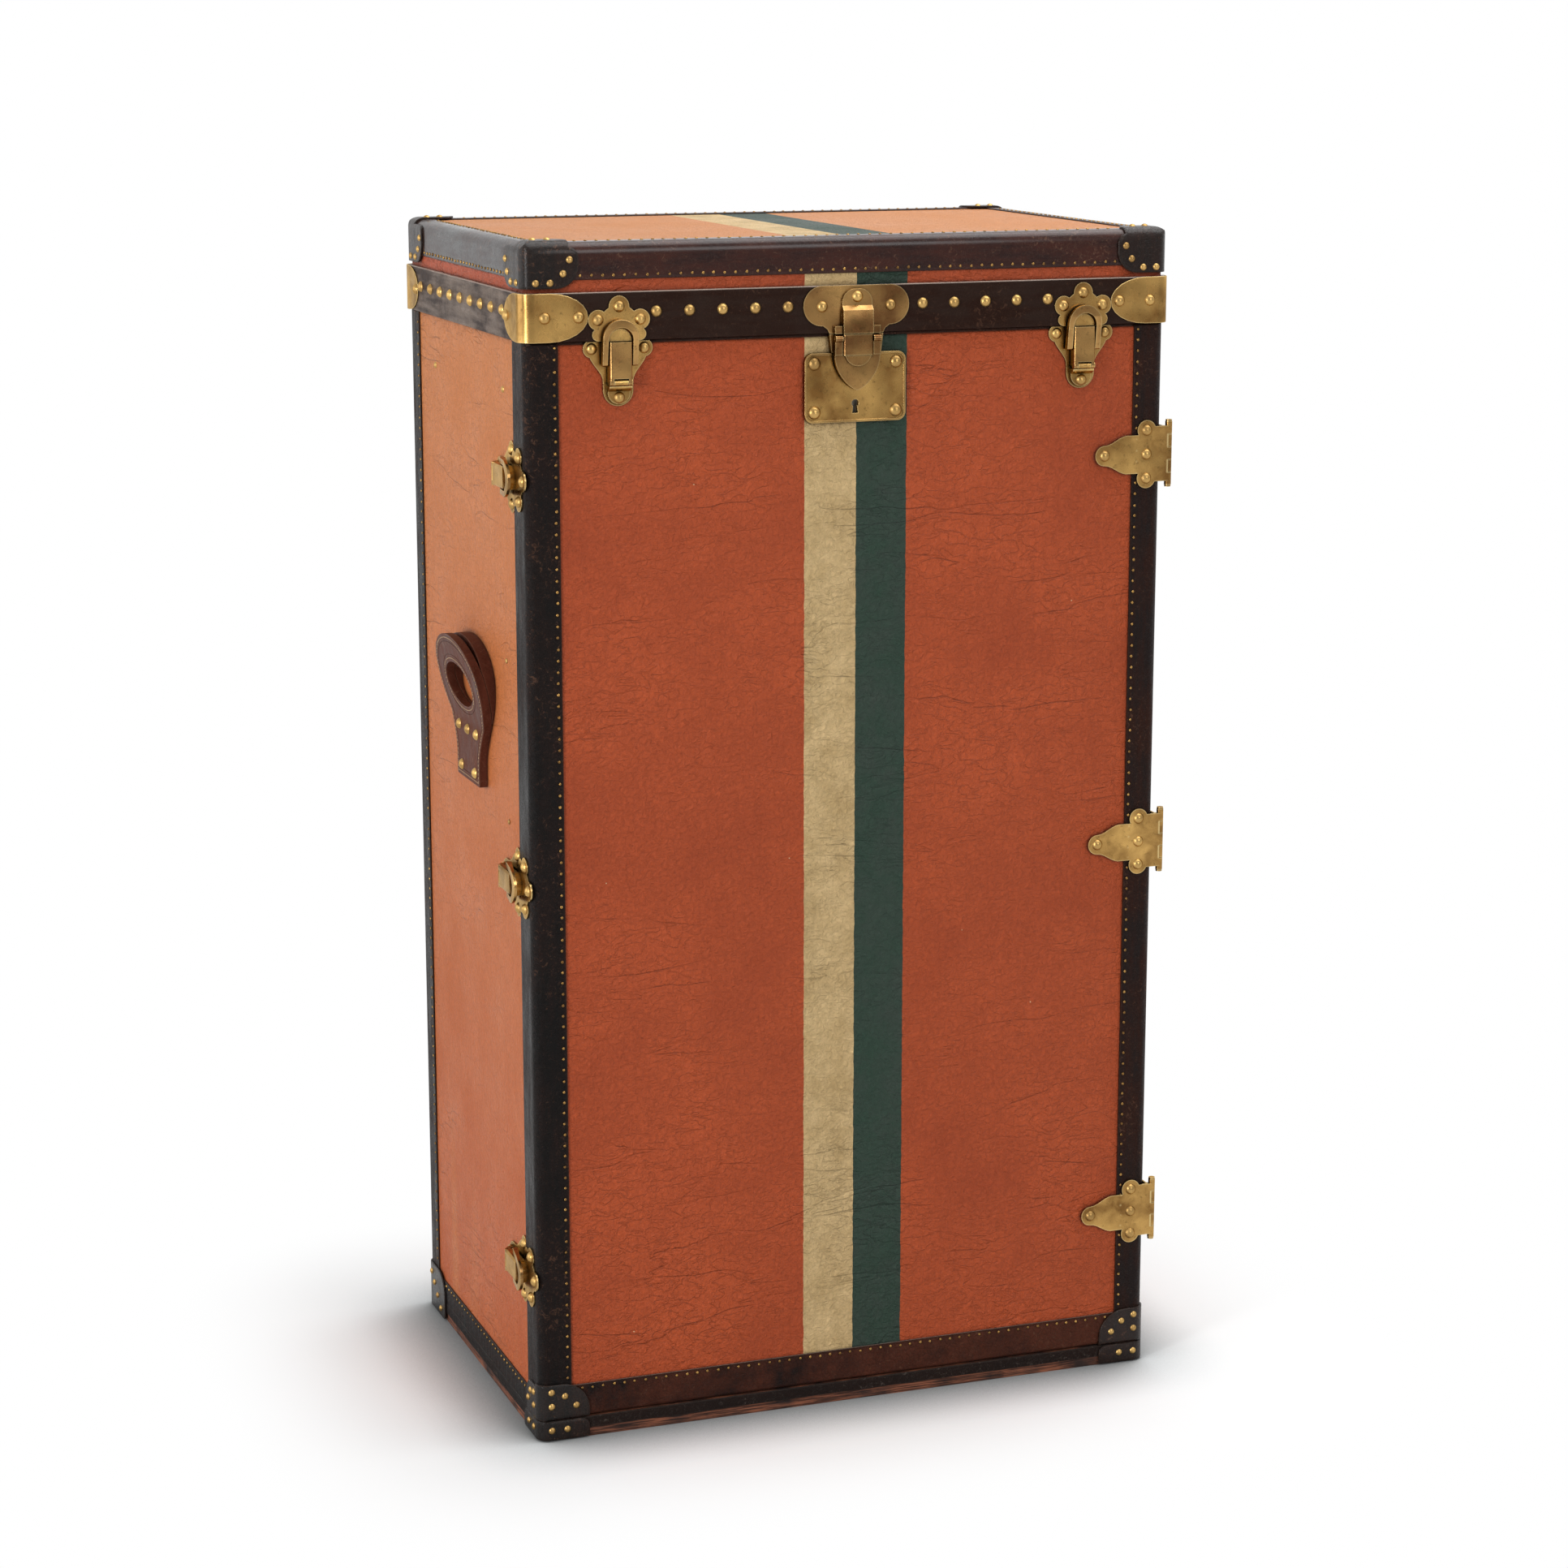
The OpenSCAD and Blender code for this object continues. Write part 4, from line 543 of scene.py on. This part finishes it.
@dataclass(frozen=True)
class WaxedThread(Finish):
    """Waxed linen thread: twisted, brown with age."""

    light: str = "#BA9C7A"
    dark: str = "#8C6E54"

    def surface(self, put: Put, place: Socket) -> Surface:
        """Twists the thread. See Finish.surface."""
        # The twist has a pitch of 0.5 mm
        twist = put("TexWave", {"Vector": place, "Scale": 320.0, "Distortion": 1.0},
            bands_direction="DIAGONAL")[1]
        colour = put("Mix", {0: twist, 6: self.dark, 7: self.light}, **COLOURS)[2]
        roughness = put("MapRange", {"Value": twist, "To Min": 0.8, "To Max": 0.6})[0]
        return colour, roughness, twist


DOOR_CANVAS = PaintedCanvas("door_canvas_orange_paint")
# The lid's top is painted paler: painted light
LID_CANVAS = PaintedCanvas("lid_canvas_orange_paint", paint="#B9532E", shade="#A54A2A", lit_top=0.9)
# The case is painted paler than the door, partly fading and partly painted light on its lit side, paler upward
# and in streaks of painted sheen
CASE_CANVAS = PaintedCanvas("case_canvas_orange_paint", paint="#C66632", shade="#B8592A", lit_paint="#DF9C5C",
    lit_upward=0.42, streak=0.3, striped=False)
DOOR_LEATHER = EdgeLeather("door_cowhide", red="#2F170F", shod_to=54 * MM, bare_and_lit_top=0.5, pale_edge_below=60 * MM,
    relief=0.9 * MM)
CASE_LEATHER = EdgeLeather("case_cowhide", wear=0.7, relief=0.9 * MM)
LID_LEATHER = EdgeLeather("lid_cowhide", red="#3E1A10", brown="#260F0B", rough=0.3, coat=0.5,
    coat_roughness=0.13, wear=0.7, specular=0.08, rounding=4 * MM, red_from=-300 * MM, run=LEVEL)
# The belt's latched side takes a pale grey brown: painted sheen
BELT_LEATHER = EdgeLeather("belt_cowhide", dark="#6E5C4E", brown="#2E201A", red="#28160F", wear=0.3,
    rough=0.34, specular=0.04, coat=0.08, bare_and_lit_top=0.9, run=LEVEL)
CAP_LEATHER = EdgeLeather("cap_cowhide", dark="#140F0D", brown="#1F1511", red="#281711", wear=0.6, rough=0.3,
    relief=0.9 * MM, coat=0.3, rounding=4 * MM)
BAND_LEATHER = EdgeLeather("base_cowhide", dark="#121010", brown="#211815", red="#241814", scuff="#5E554E",
    wear=0.8, rough=0.44, relief=0.7 * MM, run=LEVEL)
HANDLE_LEATHER = EdgeLeather("handle_cowhide", dark="#4C281D", brown="#5D3326", red="#67392B",
    scuff="#8C6852", relief=0.15 * MM, specular=0.04)
PLATE_BRASS = AgedBrass("plate_brass")
HASP_BRASS = AgedBrass("hasp_brass", bright="#B88F57", worn="#6E4C2D", rubbing=0.5, rough=0.22)
RIVET_BRASS = AgedBrass("rivet_brass", bright="#CDA766", worn="#A07E4C", rubbing=0.0, tarnish=0.2, rough=0.34,
    relief=0.01 * MM)
TACK_BRASS = AgedBrass("tack_brass", bright="#B48C50", worn="#755632", rubbing=0.0, tarnish=0.6,
    relief=0.01 * MM)
BASE_WOOD = RoughWood("sawn_poplar")
INNER_WOOD = RoughWood("inner_poplar", light="#B08A5C", dark="#8A673F", relief=0.3 * MM)
LINING = LiningCloth("lining_linen")
STEEL = PlatedSteel("plated_steel")
THREAD = WaxedThread("waxed_thread")


def nothing_selected() -> None:
    """Leaves edit mode and drops the selection."""
    if bpy.context.object and bpy.context.object.mode != "OBJECT":
        bpy.ops.object.mode_set(mode="OBJECT")
    bpy.ops.object.select_all(action="DESELECT")


def dress(nodes: dict[str, Finish]) -> None:
    """Gives construction nodes their finish.

    Args:
        nodes: finish by node name.
    """
    for name, finish in nodes.items():
        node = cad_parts[name]
        if not node.data.materials:
            node.data.materials.append(None)
        for slot in node.material_slots:
            slot.link = "OBJECT"
            slot.material = finish.material()
        log.info("dressed %s as %s", name, finish.name)


def soften(names: list[str], width: float, segments: int = 2) -> None:
    """Rounds the hard edges of construction nodes, as pressing and wear do.

    Args:
        names: the nodes.
        width: width of the rounding.
        segments: faces across the rounding.
    """
    for name in names:
        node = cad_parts[name]
        weld = node.modifiers.new("weld", "WELD")
        weld.merge_threshold = 0.002 * MM
        flat = node.modifiers.new("flat", "DECIMATE")
        flat.decimate_type = "DISSOLVE"
        flat.angle_limit = math.radians(0.6)
        edge = node.modifiers.new("edge", "BEVEL")
        edge.width = width
        edge.segments = segments
        edge.limit_method = "ANGLE"
        edge.angle_limit = math.radians(35)
        edge.use_clamp_overlap = True
        node.modifiers.new("shade", "WEIGHTED_NORMAL")


def gather(pattern: bpy.types.Object, places: list[Matrix], name: str) -> bpy.types.Object:
    """Copies a small piece to every place and joins the copies.

    Args:
        pattern: the piece, modelled at the origin. It is deleted.
        places: the transform of each copy.
        name: name of the joined piece.

    Returns:
        The joined piece, with its place in its mesh and its faces outward.
    """
    nothing_selected()
    copies = []
    for place in places:
        copy = pattern.copy()
        copy.data = pattern.data.copy()
        copy.matrix_world = place
        bpy.context.collection.objects.link(copy)
        copies.append(copy)
    bpy.data.objects.remove(pattern)
    for copy in copies:
        copy.select_set(True)
    bpy.context.view_layer.objects.active = copies[0]
    bpy.ops.object.join()
    bpy.ops.object.transform_apply(location=True, rotation=True, scale=True)
    bpy.ops.object.mode_set(mode="EDIT")
    bpy.ops.mesh.select_all(action="SELECT")
    bpy.ops.mesh.normals_make_consistent(inside=False)
    bpy.ops.object.mode_set(mode="OBJECT")
    joined = bpy.context.object
    joined.name = name
    return joined


def by_hand(spots: list[Spot], seed: int, tilt: float) -> list[Matrix]:
    """Stands a copy on every spot, each leaning, turned and sized a little differently.

    Args:
        spots: for each copy its place, and the direction that its z axis takes.
        seed: seed of the small differences.
        tilt: most that a copy leans, in radians.

    Returns:
        The transform of each copy.
    """
    chance = random.Random(seed)
    places = []
    for place, normal in spots:
        lean = Euler((chance.uniform(-tilt, tilt), chance.uniform(-tilt, tilt), chance.uniform(0, math.pi)))
        places.append(Matrix.Translation(place) @ normal.to_track_quat("Z", "Y").to_matrix().to_4x4()
            @ lean.to_matrix().to_4x4() @ Matrix.Scale(chance.uniform(0.92, 1.08), 4))
    return places


def settle(piece: bpy.types.Object, finish: Finish, body: Body) -> None:
    """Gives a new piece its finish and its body.

    Args:
        piece: the piece, in place.
        finish: its finish.
        body: the body that it rides on.
    """
    piece.data.materials.clear()
    piece.data.materials.append(finish.material())
    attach(piece, body.value)
    log.info("built %s: %d faces, rides on %s", piece.name, len(piece.data.polygons), body.value)


def row(start: Point, end: Point, normal: Point, pitch: float, seed: int) -> list[Spot]:
    """Places along a line, a little uneven as by hand.

    Args:
        start: first place.
        end: last place.
        normal: direction out of the surface.
        pitch: wanted distance between places.
        seed: seed of the unevenness.

    Returns:
        The places with their direction.
    """
    chance = random.Random(seed)
    ahead, across = 0.5 * MM, 0.35 * MM
    first, last, out = Vector(start), Vector(end), Vector(normal)
    count = max(2, round((last - first).length / pitch))
    along = (last - first).normalized()
    aside = along.cross(out)
    spots = []
    for i in range(count + 1):
        drift = along * chance.uniform(-ahead, ahead) + aside * chance.uniform(-across, across)
        spots.append((first.lerp(last, i / count) + drift, out))
    return spots


@dataclass
class EdgeTacks:
    """The small tacks along the edges of the leather strips."""

    radius: float = 1.5 * MM
    height: float = 0.9 * MM
    sunk: float = 0.2
    pitch: float = 10.3 * MM
    inside: float = 3.6 * MM

    def tack(self) -> bpy.types.Object:
        """Models one tack: a dome cut off flat and pressed a little into the leather.

        Returns:
            The tack at the origin.
        """
        nothing_selected()
        bpy.ops.mesh.primitive_uv_sphere_add(segments=8, ring_count=6, radius=self.radius)
        bpy.ops.object.mode_set(mode="EDIT")
        bpy.ops.mesh.select_all(action="SELECT")
        bpy.ops.transform.resize(value=(1, 1, self.height / self.radius))
        bpy.ops.mesh.bisect(plane_co=(0, 0, -self.sunk * self.height), plane_no=(0, 0, 1), clear_inner=True,
            use_fill=True)
        bpy.ops.object.mode_set(mode="OBJECT")
        bpy.ops.object.shade_smooth()
        return bpy.context.object

    def build(self, name: str, body: Body, lines: list[Line]) -> None:
        """Builds all the tacks of one body.

        Args:
            name: name of the piece.
            body: the body that carries the leather.
            lines: for each row its start, its end and the direction out of the leather.
        """
        spots = []
        for i, (start, end, normal) in enumerate(lines):
            spots += row(start, end, normal, self.pitch, seed=i + 7)
        piece = gather(self.tack(), by_hand(spots, seed=len(spots), tilt=0.12), name)
        settle(piece, TACK_BRASS, body)


@dataclass
class Carcase:
    """The case: board, painted canvas, leather edges, linen inside, hanging rail and wooden base."""

    half_width: float = 310 * MM
    half_depth: float = 200 * MM
    back_strip: float = 35 * MM
    foot_strip: float = 22 * MM
    foot: float = 20 * MM
    tacks_from: float = 58 * MM
    tacks_to: float = 1012 * MM
    corner: float = 12 * MM
    front_end: float = -150 * MM
    nail_x: float = -308.5 * MM
    nail_y: float = -123 * MM
    nail_heights: Flat = (728.6 * MM, 578.3 * MM)
    nail_size: float = 1.6

    def dress(self) -> None:
        """Dresses the nodes of the case."""
        dress({"wear_board": BASE_WOOD, "plinth": BASE_WOOD, "plinth_band": BAND_LEATHER,
            "foot_caps": CAP_LEATHER, "case_shell": INNER_WOOD, "case_canvas": CASE_CANVAS,
            "case_binding": CASE_LEATHER, "case_lining": LINING, "closing_lips": INNER_WOOD,
            "hanging_rail": STEEL, "rail_crossbar": STEEL, "rail_sockets": STEEL, "case_rivets": RIVET_BRASS})

    def tack_rows(self, inside: float) -> list[Line]:
        """Finds the rows of tacks on the back strips and the foot strips.

        Args:
            inside: distance of the tacks from the edge of a strip.

        Returns:
            Start, end and outward direction of each row.
        """
        side_y = self.half_depth - self.back_strip + inside
        back_x = self.half_width - self.back_strip + inside
        low, back = self.foot + self.foot_strip - inside, self.half_depth
        rows = []
        for side in (-1, 1):
            x, near = side * self.half_width, side * back_x
            rows.append(((x, side_y, self.tacks_from), (x, side_y, self.tacks_to), (side, 0, 0)))
            rows.append(((x, self.front_end, low), (x, side_y - self.corner, low), (side, 0, 0)))
            rows.append(((near, back, self.tacks_from), (near, back, self.tacks_to), (0, 1, 0)))
        rows.append(((self.corner - back_x, back, low), (back_x - self.corner, back, low), (0, 1, 0)))
        return rows

    def build(self, tacks: EdgeTacks) -> None:
        """Builds and dresses the case.

        Args:
            tacks: how the tacks are made.
        """
        self.dress()
        tacks.build("case_tacks", Body.CASE, self.tack_rows(tacks.inside))
        # Two single nails in the left canvas, with heads of 5 mm
        spots = [(Vector((self.nail_x, self.nail_y, z)), Vector((-1, 0, 0))) for z in self.nail_heights]
        places = [place @ Matrix.Scale(self.nail_size, 4) for place in by_hand(spots, seed=3, tilt=0.1)]
        settle(gather(tacks.tack(), places, "canvas_nails"), RIVET_BRASS, Body.CASE)


@dataclass
class FrontDoor:
    """The door: a shallow tray with painted canvas, leather edges and corner caps."""

    half_width: float = 310 * MM
    front: float = -200 * MM
    strip: float = 31 * MM
    foot_top: float = 52.6 * MM
    top: float = 1018 * MM
    corner_up: float = 12 * MM
    corner_in: float = 14 * MM

    def dress(self) -> None:
        """Dresses the nodes of the door."""
        dress({"door_shell": INNER_WOOD, "door_canvas": DOOR_CANVAS, "door_binding": DOOR_LEATHER,
            "door_lining": LINING, "door_caps": CAP_LEATHER, "door_rivets": RIVET_BRASS})

    def build(self, tacks: EdgeTacks) -> None:
        """Builds and dresses the door.

        Args:
            tacks: how the tacks are made.
        """
        self.dress()
        x = self.half_width - self.strip + tacks.inside
        low = self.foot_top - tacks.inside
        rows = [((side * x, self.front, low + self.corner_up), (side * x, self.front, self.top), (0, -1, 0))
            for side in (-1, 1)]
        rows.append(((self.corner_in - x, self.front, low), (x - self.corner_in, self.front, low), (0, -1, 0)))
        tacks.build("door_tacks", Body.DOOR, rows)


@dataclass
class TopLid:
    """The lid: board, painted canvas, leather edges, corner caps and the riveted leather belt."""

    half_width: float = 310 * MM
    half_depth: float = 200 * MM
    top: float = 1110 * MM
    side_strip: float = 33 * MM
    top_strip: float = 20 * MM
    top_inside: float = 3 * MM
    cap_reach: float = 52 * MM

    def dress(self) -> None:
        """Dresses the nodes of the lid."""
        dress({"lid_shell": INNER_WOOD, "lid_canvas": LID_CANVAS, "lid_binding": LID_LEATHER,
            "lid_lining": LINING, "lid_belt": BELT_LEATHER, "belt_clamps": PLATE_BRASS,
            "lid_caps": CAP_LEATHER, "lid_rivets": RIVET_BRASS})

    def build(self, tacks: EdgeTacks) -> None:
        """Builds and dresses the lid.

        Args:
            tacks: how the tacks are made.
        """
        self.dress()
        low = self.top - self.side_strip + tacks.inside
        far_x, far_y = self.half_width - self.cap_reach, self.half_depth - self.cap_reach
        in_x = self.half_width - self.top_strip + self.top_inside
        in_y = self.half_depth - self.top_strip + self.top_inside
        rows = []
        for side in (-1, 1):
            x, y = side * self.half_width, side * self.half_depth
            rows.append(((-far_x, y, low), (far_x, y, low), (0, side, 0)))
            rows.append(((x, -far_y, low), (x, far_y, low), (side, 0, 0)))
            rows.append(((-far_x, side * in_y, self.top), (far_x, side * in_y, self.top), (0, 0, 1)))
            rows.append(((side * in_x, -far_y, self.top), (side * in_x, far_y, self.top), (0, 0, 1)))
        tacks.build("lid_tacks", Body.LID, rows)


@dataclass
class Fittings:
    """The brass: toggle latches, lock with its hasp, and hinges."""

    def dress(self) -> None:
        """Dresses the fittings, and softens the edges of the brass and the leather."""
        plates = ["front_catches", "side_catches", "front_latch_bases", "side_latch_bases", "lock_plate"]
        leaves = ["front_hinge_leaves", "side_hinge_leaves", "lid_hinge_lower_leaves", "lid_hinge_upper_leaves"]
        pins = ["side_latch_pins", "front_latch_pins", "door_hinge_pins", "lid_hinge_pins"]
        levers = [f"front_{kind}_{side}" for kind in ("lever", "loop") for side in ("left", "right")]
        levers += [f"side_{kind}_{level}" for kind in ("lever", "loop")
            for level in ("top", "middle", "bottom")]
        dress({name: PLATE_BRASS for name in plates + leaves + pins})
        dress({name: HASP_BRASS for name in levers + ["hasp_plate", "hasp_saddle", "hasp_pin", "hasp"]})
        dress({"lock_box": STEEL})
        soften(["belt_clamps"] + plates + ["hasp_plate", "hasp_saddle"], 0.5 * MM)
        soften(levers + ["hasp"], 0.6 * MM, 3)
        soften(leaves, 0.4 * MM)
        soften(["case_binding", "door_binding", "lid_binding", "plinth_band"], 1.0 * MM)
        soften(["lid_belt"], 1.6 * MM, 3)
        soften(["foot_caps", "door_caps", "lid_caps"], 1.2 * MM)


@dataclass
class HandleStitches:
    """The leather handles with two lines of stitches."""

    wall: float = 308.5 * MM
    shift: float = 12 * MM
    bend: float = 654 * MM
    tab_width: float = 78 * MM
    tab_height: float = 58 * MM
    flare_from: float = 18 * MM
    flare_below: float = 6 * MM
    ring_rise: float = 41 * MM
    ring_x: float = 72 * MM
    ring_y: float = 41 * MM
    hole_x: float = 43.5 * MM
    hole_y: float = 20.5 * MM
    hole_drop: float = 6.5 * MM
    thick: float = 8 * MM
    lean: float = math.radians(12)
    inset: float = 3.6 * MM
    pitch: float = 4.0 * MM
    thread: float = 0.55 * MM
    stitch_length: float = 2.7 * MM

    def outline(self) -> list[Flat]:
        """Follows the outer edge from the foot of the tab round the ring and back.

        Returns:
            Points across and up, from the middle of the bend.
        """
        half = self.tab_width / 2 - self.inset
        wide, high = self.ring_x - self.inset, self.ring_y - self.inset
        start, end = self.flare_from - self.tab_height, self.ring_rise - self.flare_below
        left = [(-half, self.inset - self.tab_height), (-half, start)]
        steps = 12
        for i in range(1, steps + 1):
            share = (1 - math.cos(math.pi * i / steps)) / 2
            left.append((-(half + (wide - half) * share), start + (end - start) * i / steps))
        for turn in [math.radians(angle) for angle in range(0, 90, 6)]:
            left.append((-wide * math.cos(turn), self.ring_rise + high * math.sin(turn)))
        return left + [(-x, y) for x, y in reversed(left)] + [left[0]]

    def hole_line(self) -> list[Flat]:
        """Follows the oval hole at the distance of the stitches.

        Returns:
            Points across and up, from the middle of the bend.
        """
        middle = self.ring_rise - self.hole_drop
        wide, high = self.hole_x + self.inset, self.hole_y + self.inset
        turns = [math.radians(angle) for angle in range(0, 366, 6)]
        return [(wide * math.cos(turn), middle + high * math.sin(turn)) for turn in turns]

    def spread(self, line: list[Flat]) -> list[Spot]:
        """Divides a line into stitches.

        Args:
            line: points across and up.

        Returns:
            Middle and direction of each stitch, across and up.
        """
        spots = []
        left_over = 0.0
        for (ax, ay), (bx, by) in zip(line, line[1:]):
            a, b = Vector((ax, ay)), Vector((bx, by))
            length = (b - a).length
            along = left_over
            while along < length:
                spots.append((a.lerp(b, along / length), (b - a).normalized()))
                along += self.pitch
            left_over = along - length
        return spots

    def on_leather(self, point: Vector) -> Vector:
        """Lifts a point of the outline onto the outer face, the ring's part onto its lean.

        Args:
            point: across and up from the middle of the bend.

        Returns:
            The point in the frame of the trunk, on the left handle.
        """
        bent = max(0.0, point.y + self.thick * math.tan(self.lean / 2)) * math.tan(self.lean)
        return Vector((-self.wall - self.thick - bent, -self.shift - point.x, self.bend + point.y))

    def stitch(self) -> bpy.types.Object:
        """Models one stitch: a short thread that dips into the leather at both ends.

        Returns:
            The stitch at the origin, lying along x.
        """
        nothing_selected()
        bpy.ops.mesh.primitive_cylinder_add(vertices=6, radius=self.thread, depth=self.stitch_length)
        bpy.ops.object.mode_set(mode="EDIT")
        bpy.ops.mesh.select_all(action="SELECT")
        bpy.ops.transform.rotate(value=math.pi / 2, orient_axis="Y", center_override=(0, 0, 0))
        bpy.ops.mesh.bevel(offset=0.25 * MM, segments=2)
        bpy.ops.object.mode_set(mode="OBJECT")
        bpy.ops.object.shade_smooth()
        return bpy.context.object

    def build(self) -> None:
        """Dresses the handles and sews the stitches of both."""
        parts = ["handle_left", "handle_right", "handle_pads"]
        dress({name: HANDLE_LEATHER for name in parts})
        soften(parts, 1.2 * MM)
        flat, leaning = Vector((-1, 0, 0)), Vector((-math.cos(self.lean), 0, math.sin(self.lean)))
        for name, mirror in (("handle_stitches_left", 1), ("handle_stitches_right", -1)):
            places = []
            for point, along in self.spread(self.outline()) + self.spread(self.hole_line()):
                place = self.on_leather(point)
                ahead = (self.on_leather(point + along * MM) - place).normalized()
                out = leaning if point.y > 0 else flat
                turn = Matrix((ahead, out.cross(ahead), out)).transposed().to_4x4()
                places.append(Matrix.Scale(mirror, 4, (1, 0, 0)) @ Matrix.Translation(place) @ turn)
            settle(gather(self.stitch(), places, name), THREAD, Body.CASE)


@dataclass
class Studio:
    """Plain pale floor, soft lights and the camera."""

    camera_place: Point = (-1.185, -3.241, 1.315)
    yaw: float = math.radians(20.17)
    pitch: float = math.radians(-12.25)
    lens: float = 82.71
    sensor: float = 36.0
    floor_radius: float = 8.0
    floor_seen: Point = (0.995, 1.022, 1.03)
    floor_grey: tuple[float, ...] = (0.55, 0.55, 0.55, 1.0)
    footprint: Point = (0.32, 0.21, 0.0)
    shadow_from: float = 0.02
    shadow_to: float = 0.26
    shadow_reach: float = 0.1
    room_level: float = 0.48
    aim: Point = (0.0, 0.0, 0.55)

    def camera(self) -> None:
        """Sets the camera where the photographer stood."""
        data = bpy.data.cameras.new("camera")
        data.lens = self.lens
        data.sensor_width = self.sensor
        camera = bpy.data.objects.new("camera", data)
        bpy.context.collection.objects.link(camera)
        ahead = Vector((math.sin(self.yaw) * math.cos(self.pitch), math.cos(self.yaw) * math.cos(self.pitch),
            math.sin(self.pitch)))
        camera.location = self.camera_place
        camera.rotation_euler = ahead.to_track_quat("-Z", "Y").to_euler()
        bpy.context.scene.camera = camera

    def floor(self) -> None:
        """Lays the floor. It keeps the shadow near the trunk, adds a painted shadow in the corner by the foot,
        and is white further out.
        """
        nothing_selected()
        bpy.ops.mesh.primitive_circle_add(vertices=64, radius=self.floor_radius, fill_type="NGON")
        floor = bpy.context.object
        floor.name = "studio_floor"
        made = bpy.data.materials.new("studio_floor")
        put = fresh_nodes(made)
        place = put("TexCoord")["Object"]
        # How far a point lies outside the outline of the trunk
        aside = put("VectorMath", {0: place}, operation="ABSOLUTE")[0]
        aside = put("VectorMath", {0: aside, 1: self.footprint}, operation="SUBTRACT")[0]
        aside = put("VectorMath", {0: aside, 1: (0, 0, 0)}, **LARGER)[0]
        flat = put("VectorMath", {0: aside}, operation="LENGTH")["Value"]
        seen = put("LightPath")
        direct = put("Math", {0: seen["Is Camera Ray"], 1: seen["Is Glossy Ray"]}, **LARGER)[0]
        shown = put("Math", {0: direct, 1: seen["Is Transmission Ray"]}, **LARGER)[0]
        # Painted shadow: the floor is darker in the corner between floor and foot, within reach of the trunk
        corner = put("AmbientOcclusion", {"Distance": self.shadow_reach}, samples=8)["AO"]
        painted_shadow = put("MapRange", {"Value": corner, "From Min": 0.5, "From Max": 0.98, "To Min": 0.3})[0]
        clear = put("VectorMath", {0: self.floor_seen, "Scale": painted_shadow}, operation="SCALE")[0]
        # The trunk itself sees a grey floor, which lights it less from below
        paint = put("Mix", {0: shown, 6: self.floor_grey, 7: clear}, **COLOURS)[2]
        matt = put("BsdfDiffuse", {"Color": paint})[0]
        white = put("Emission", {"Color": (1, 1, 1, 1)})[0]
        far = put("MapRange", {"Value": flat, "From Min": self.shadow_from, "From Max": self.shadow_to},
            **SMOOTH)[0]
        share = put("Math", {0: far, 1: shown}, **TIMES)[0]
        mixed = put("MixShader", {0: share, 1: matt, 2: white})[0]
        put("OutputMaterial", {"Surface": mixed})
        floor.data.materials.append(made)

    def world(self) -> None:
        """Makes the room: soft light all round, seen as white, and darker in metal on the camera's side."""
        world = bpy.data.worlds.new("room")
        put = fresh_nodes(world)
        seen = put("LightPath")
        way = put("SeparateXYZ", {0: put("TexCoord")["Generated"]})
        # Metal mirrors a room that brightens upward and to the back
        side = put("Math", {0: way[2], 1: 0.8, 2: way[1]}, **TIMES_PLUS)[0]
        sheen = put("MapRange", {"Value": side, "From Min": -0.95, "From Max": 0.6, "To Min": 0.4}, **SMOOTH)[0]
        mirrored = put("Math", {0: seen["Is Glossy Ray"], 1: seen["Is Transmission Ray"]}, **LARGER)[0]
        level = put("Mix", {0: mirrored, 2: self.room_level, 3: sheen}, data_type="FLOAT")[0]
        strength = put("Mix", {0: seen["Is Camera Ray"], 2: level, 3: 1.0}, data_type="FLOAT")[0]
        room = put("Background", {"Color": (1, 1, 1, 1), "Strength": strength})[0]
        put("OutputWorld", {"Surface": room})
        bpy.context.scene.world = world

    def lamp(self, name: str, place: Point, width: float, height: float, watts: float) -> None:
        """Hangs a soft box that faces the middle of the trunk.

        Args:
            name: name of the lamp.
            place: where it hangs.
            width: its width, in metres.
            height: its height, in metres.
            watts: its power.
        """
        data = bpy.data.lights.new(name, "AREA")
        data.shape = "RECTANGLE"
        data.size = width
        data.size_y = height
        data.energy = watts
        lamp = bpy.data.objects.new(name, data)
        bpy.context.collection.objects.link(lamp)
        lamp.location = place
        lamp.rotation_euler = (Vector(self.aim) - Vector(place)).to_track_quat("-Z", "Y").to_euler()

    def build(self) -> None:
        """Sets up the whole studio."""
        self.camera()
        self.floor()
        self.world()
        self.lamp("top_softbox", (0.9, 0.1, 3.0), 2.2, 2.2, 50)
        self.lamp("left_softbox", (-2.9, 0.6, 1.2), 2.4, 2.0, 20)
        self.lamp("left_strip", (-2.7, -1.7, 1.15), 0.5, 2.0, 36)
        self.lamp("front_softbox", (1.0, -3.6, 2.1), 1.4, 1.4, 26)
        bpy.context.scene.view_settings.view_transform = "Standard"


def main() -> None:
    """Builds every sub-assembly in order."""
    logging.basicConfig(level=logging.INFO)
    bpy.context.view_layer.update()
    Studio().build()
    tacks = EdgeTacks()
    Carcase().build(tacks)
    FrontDoor().build(tacks)
    TopLid().build(tacks)
    Fittings().dress()
    HandleStitches().build()


if __name__ == "__main__":
    main()
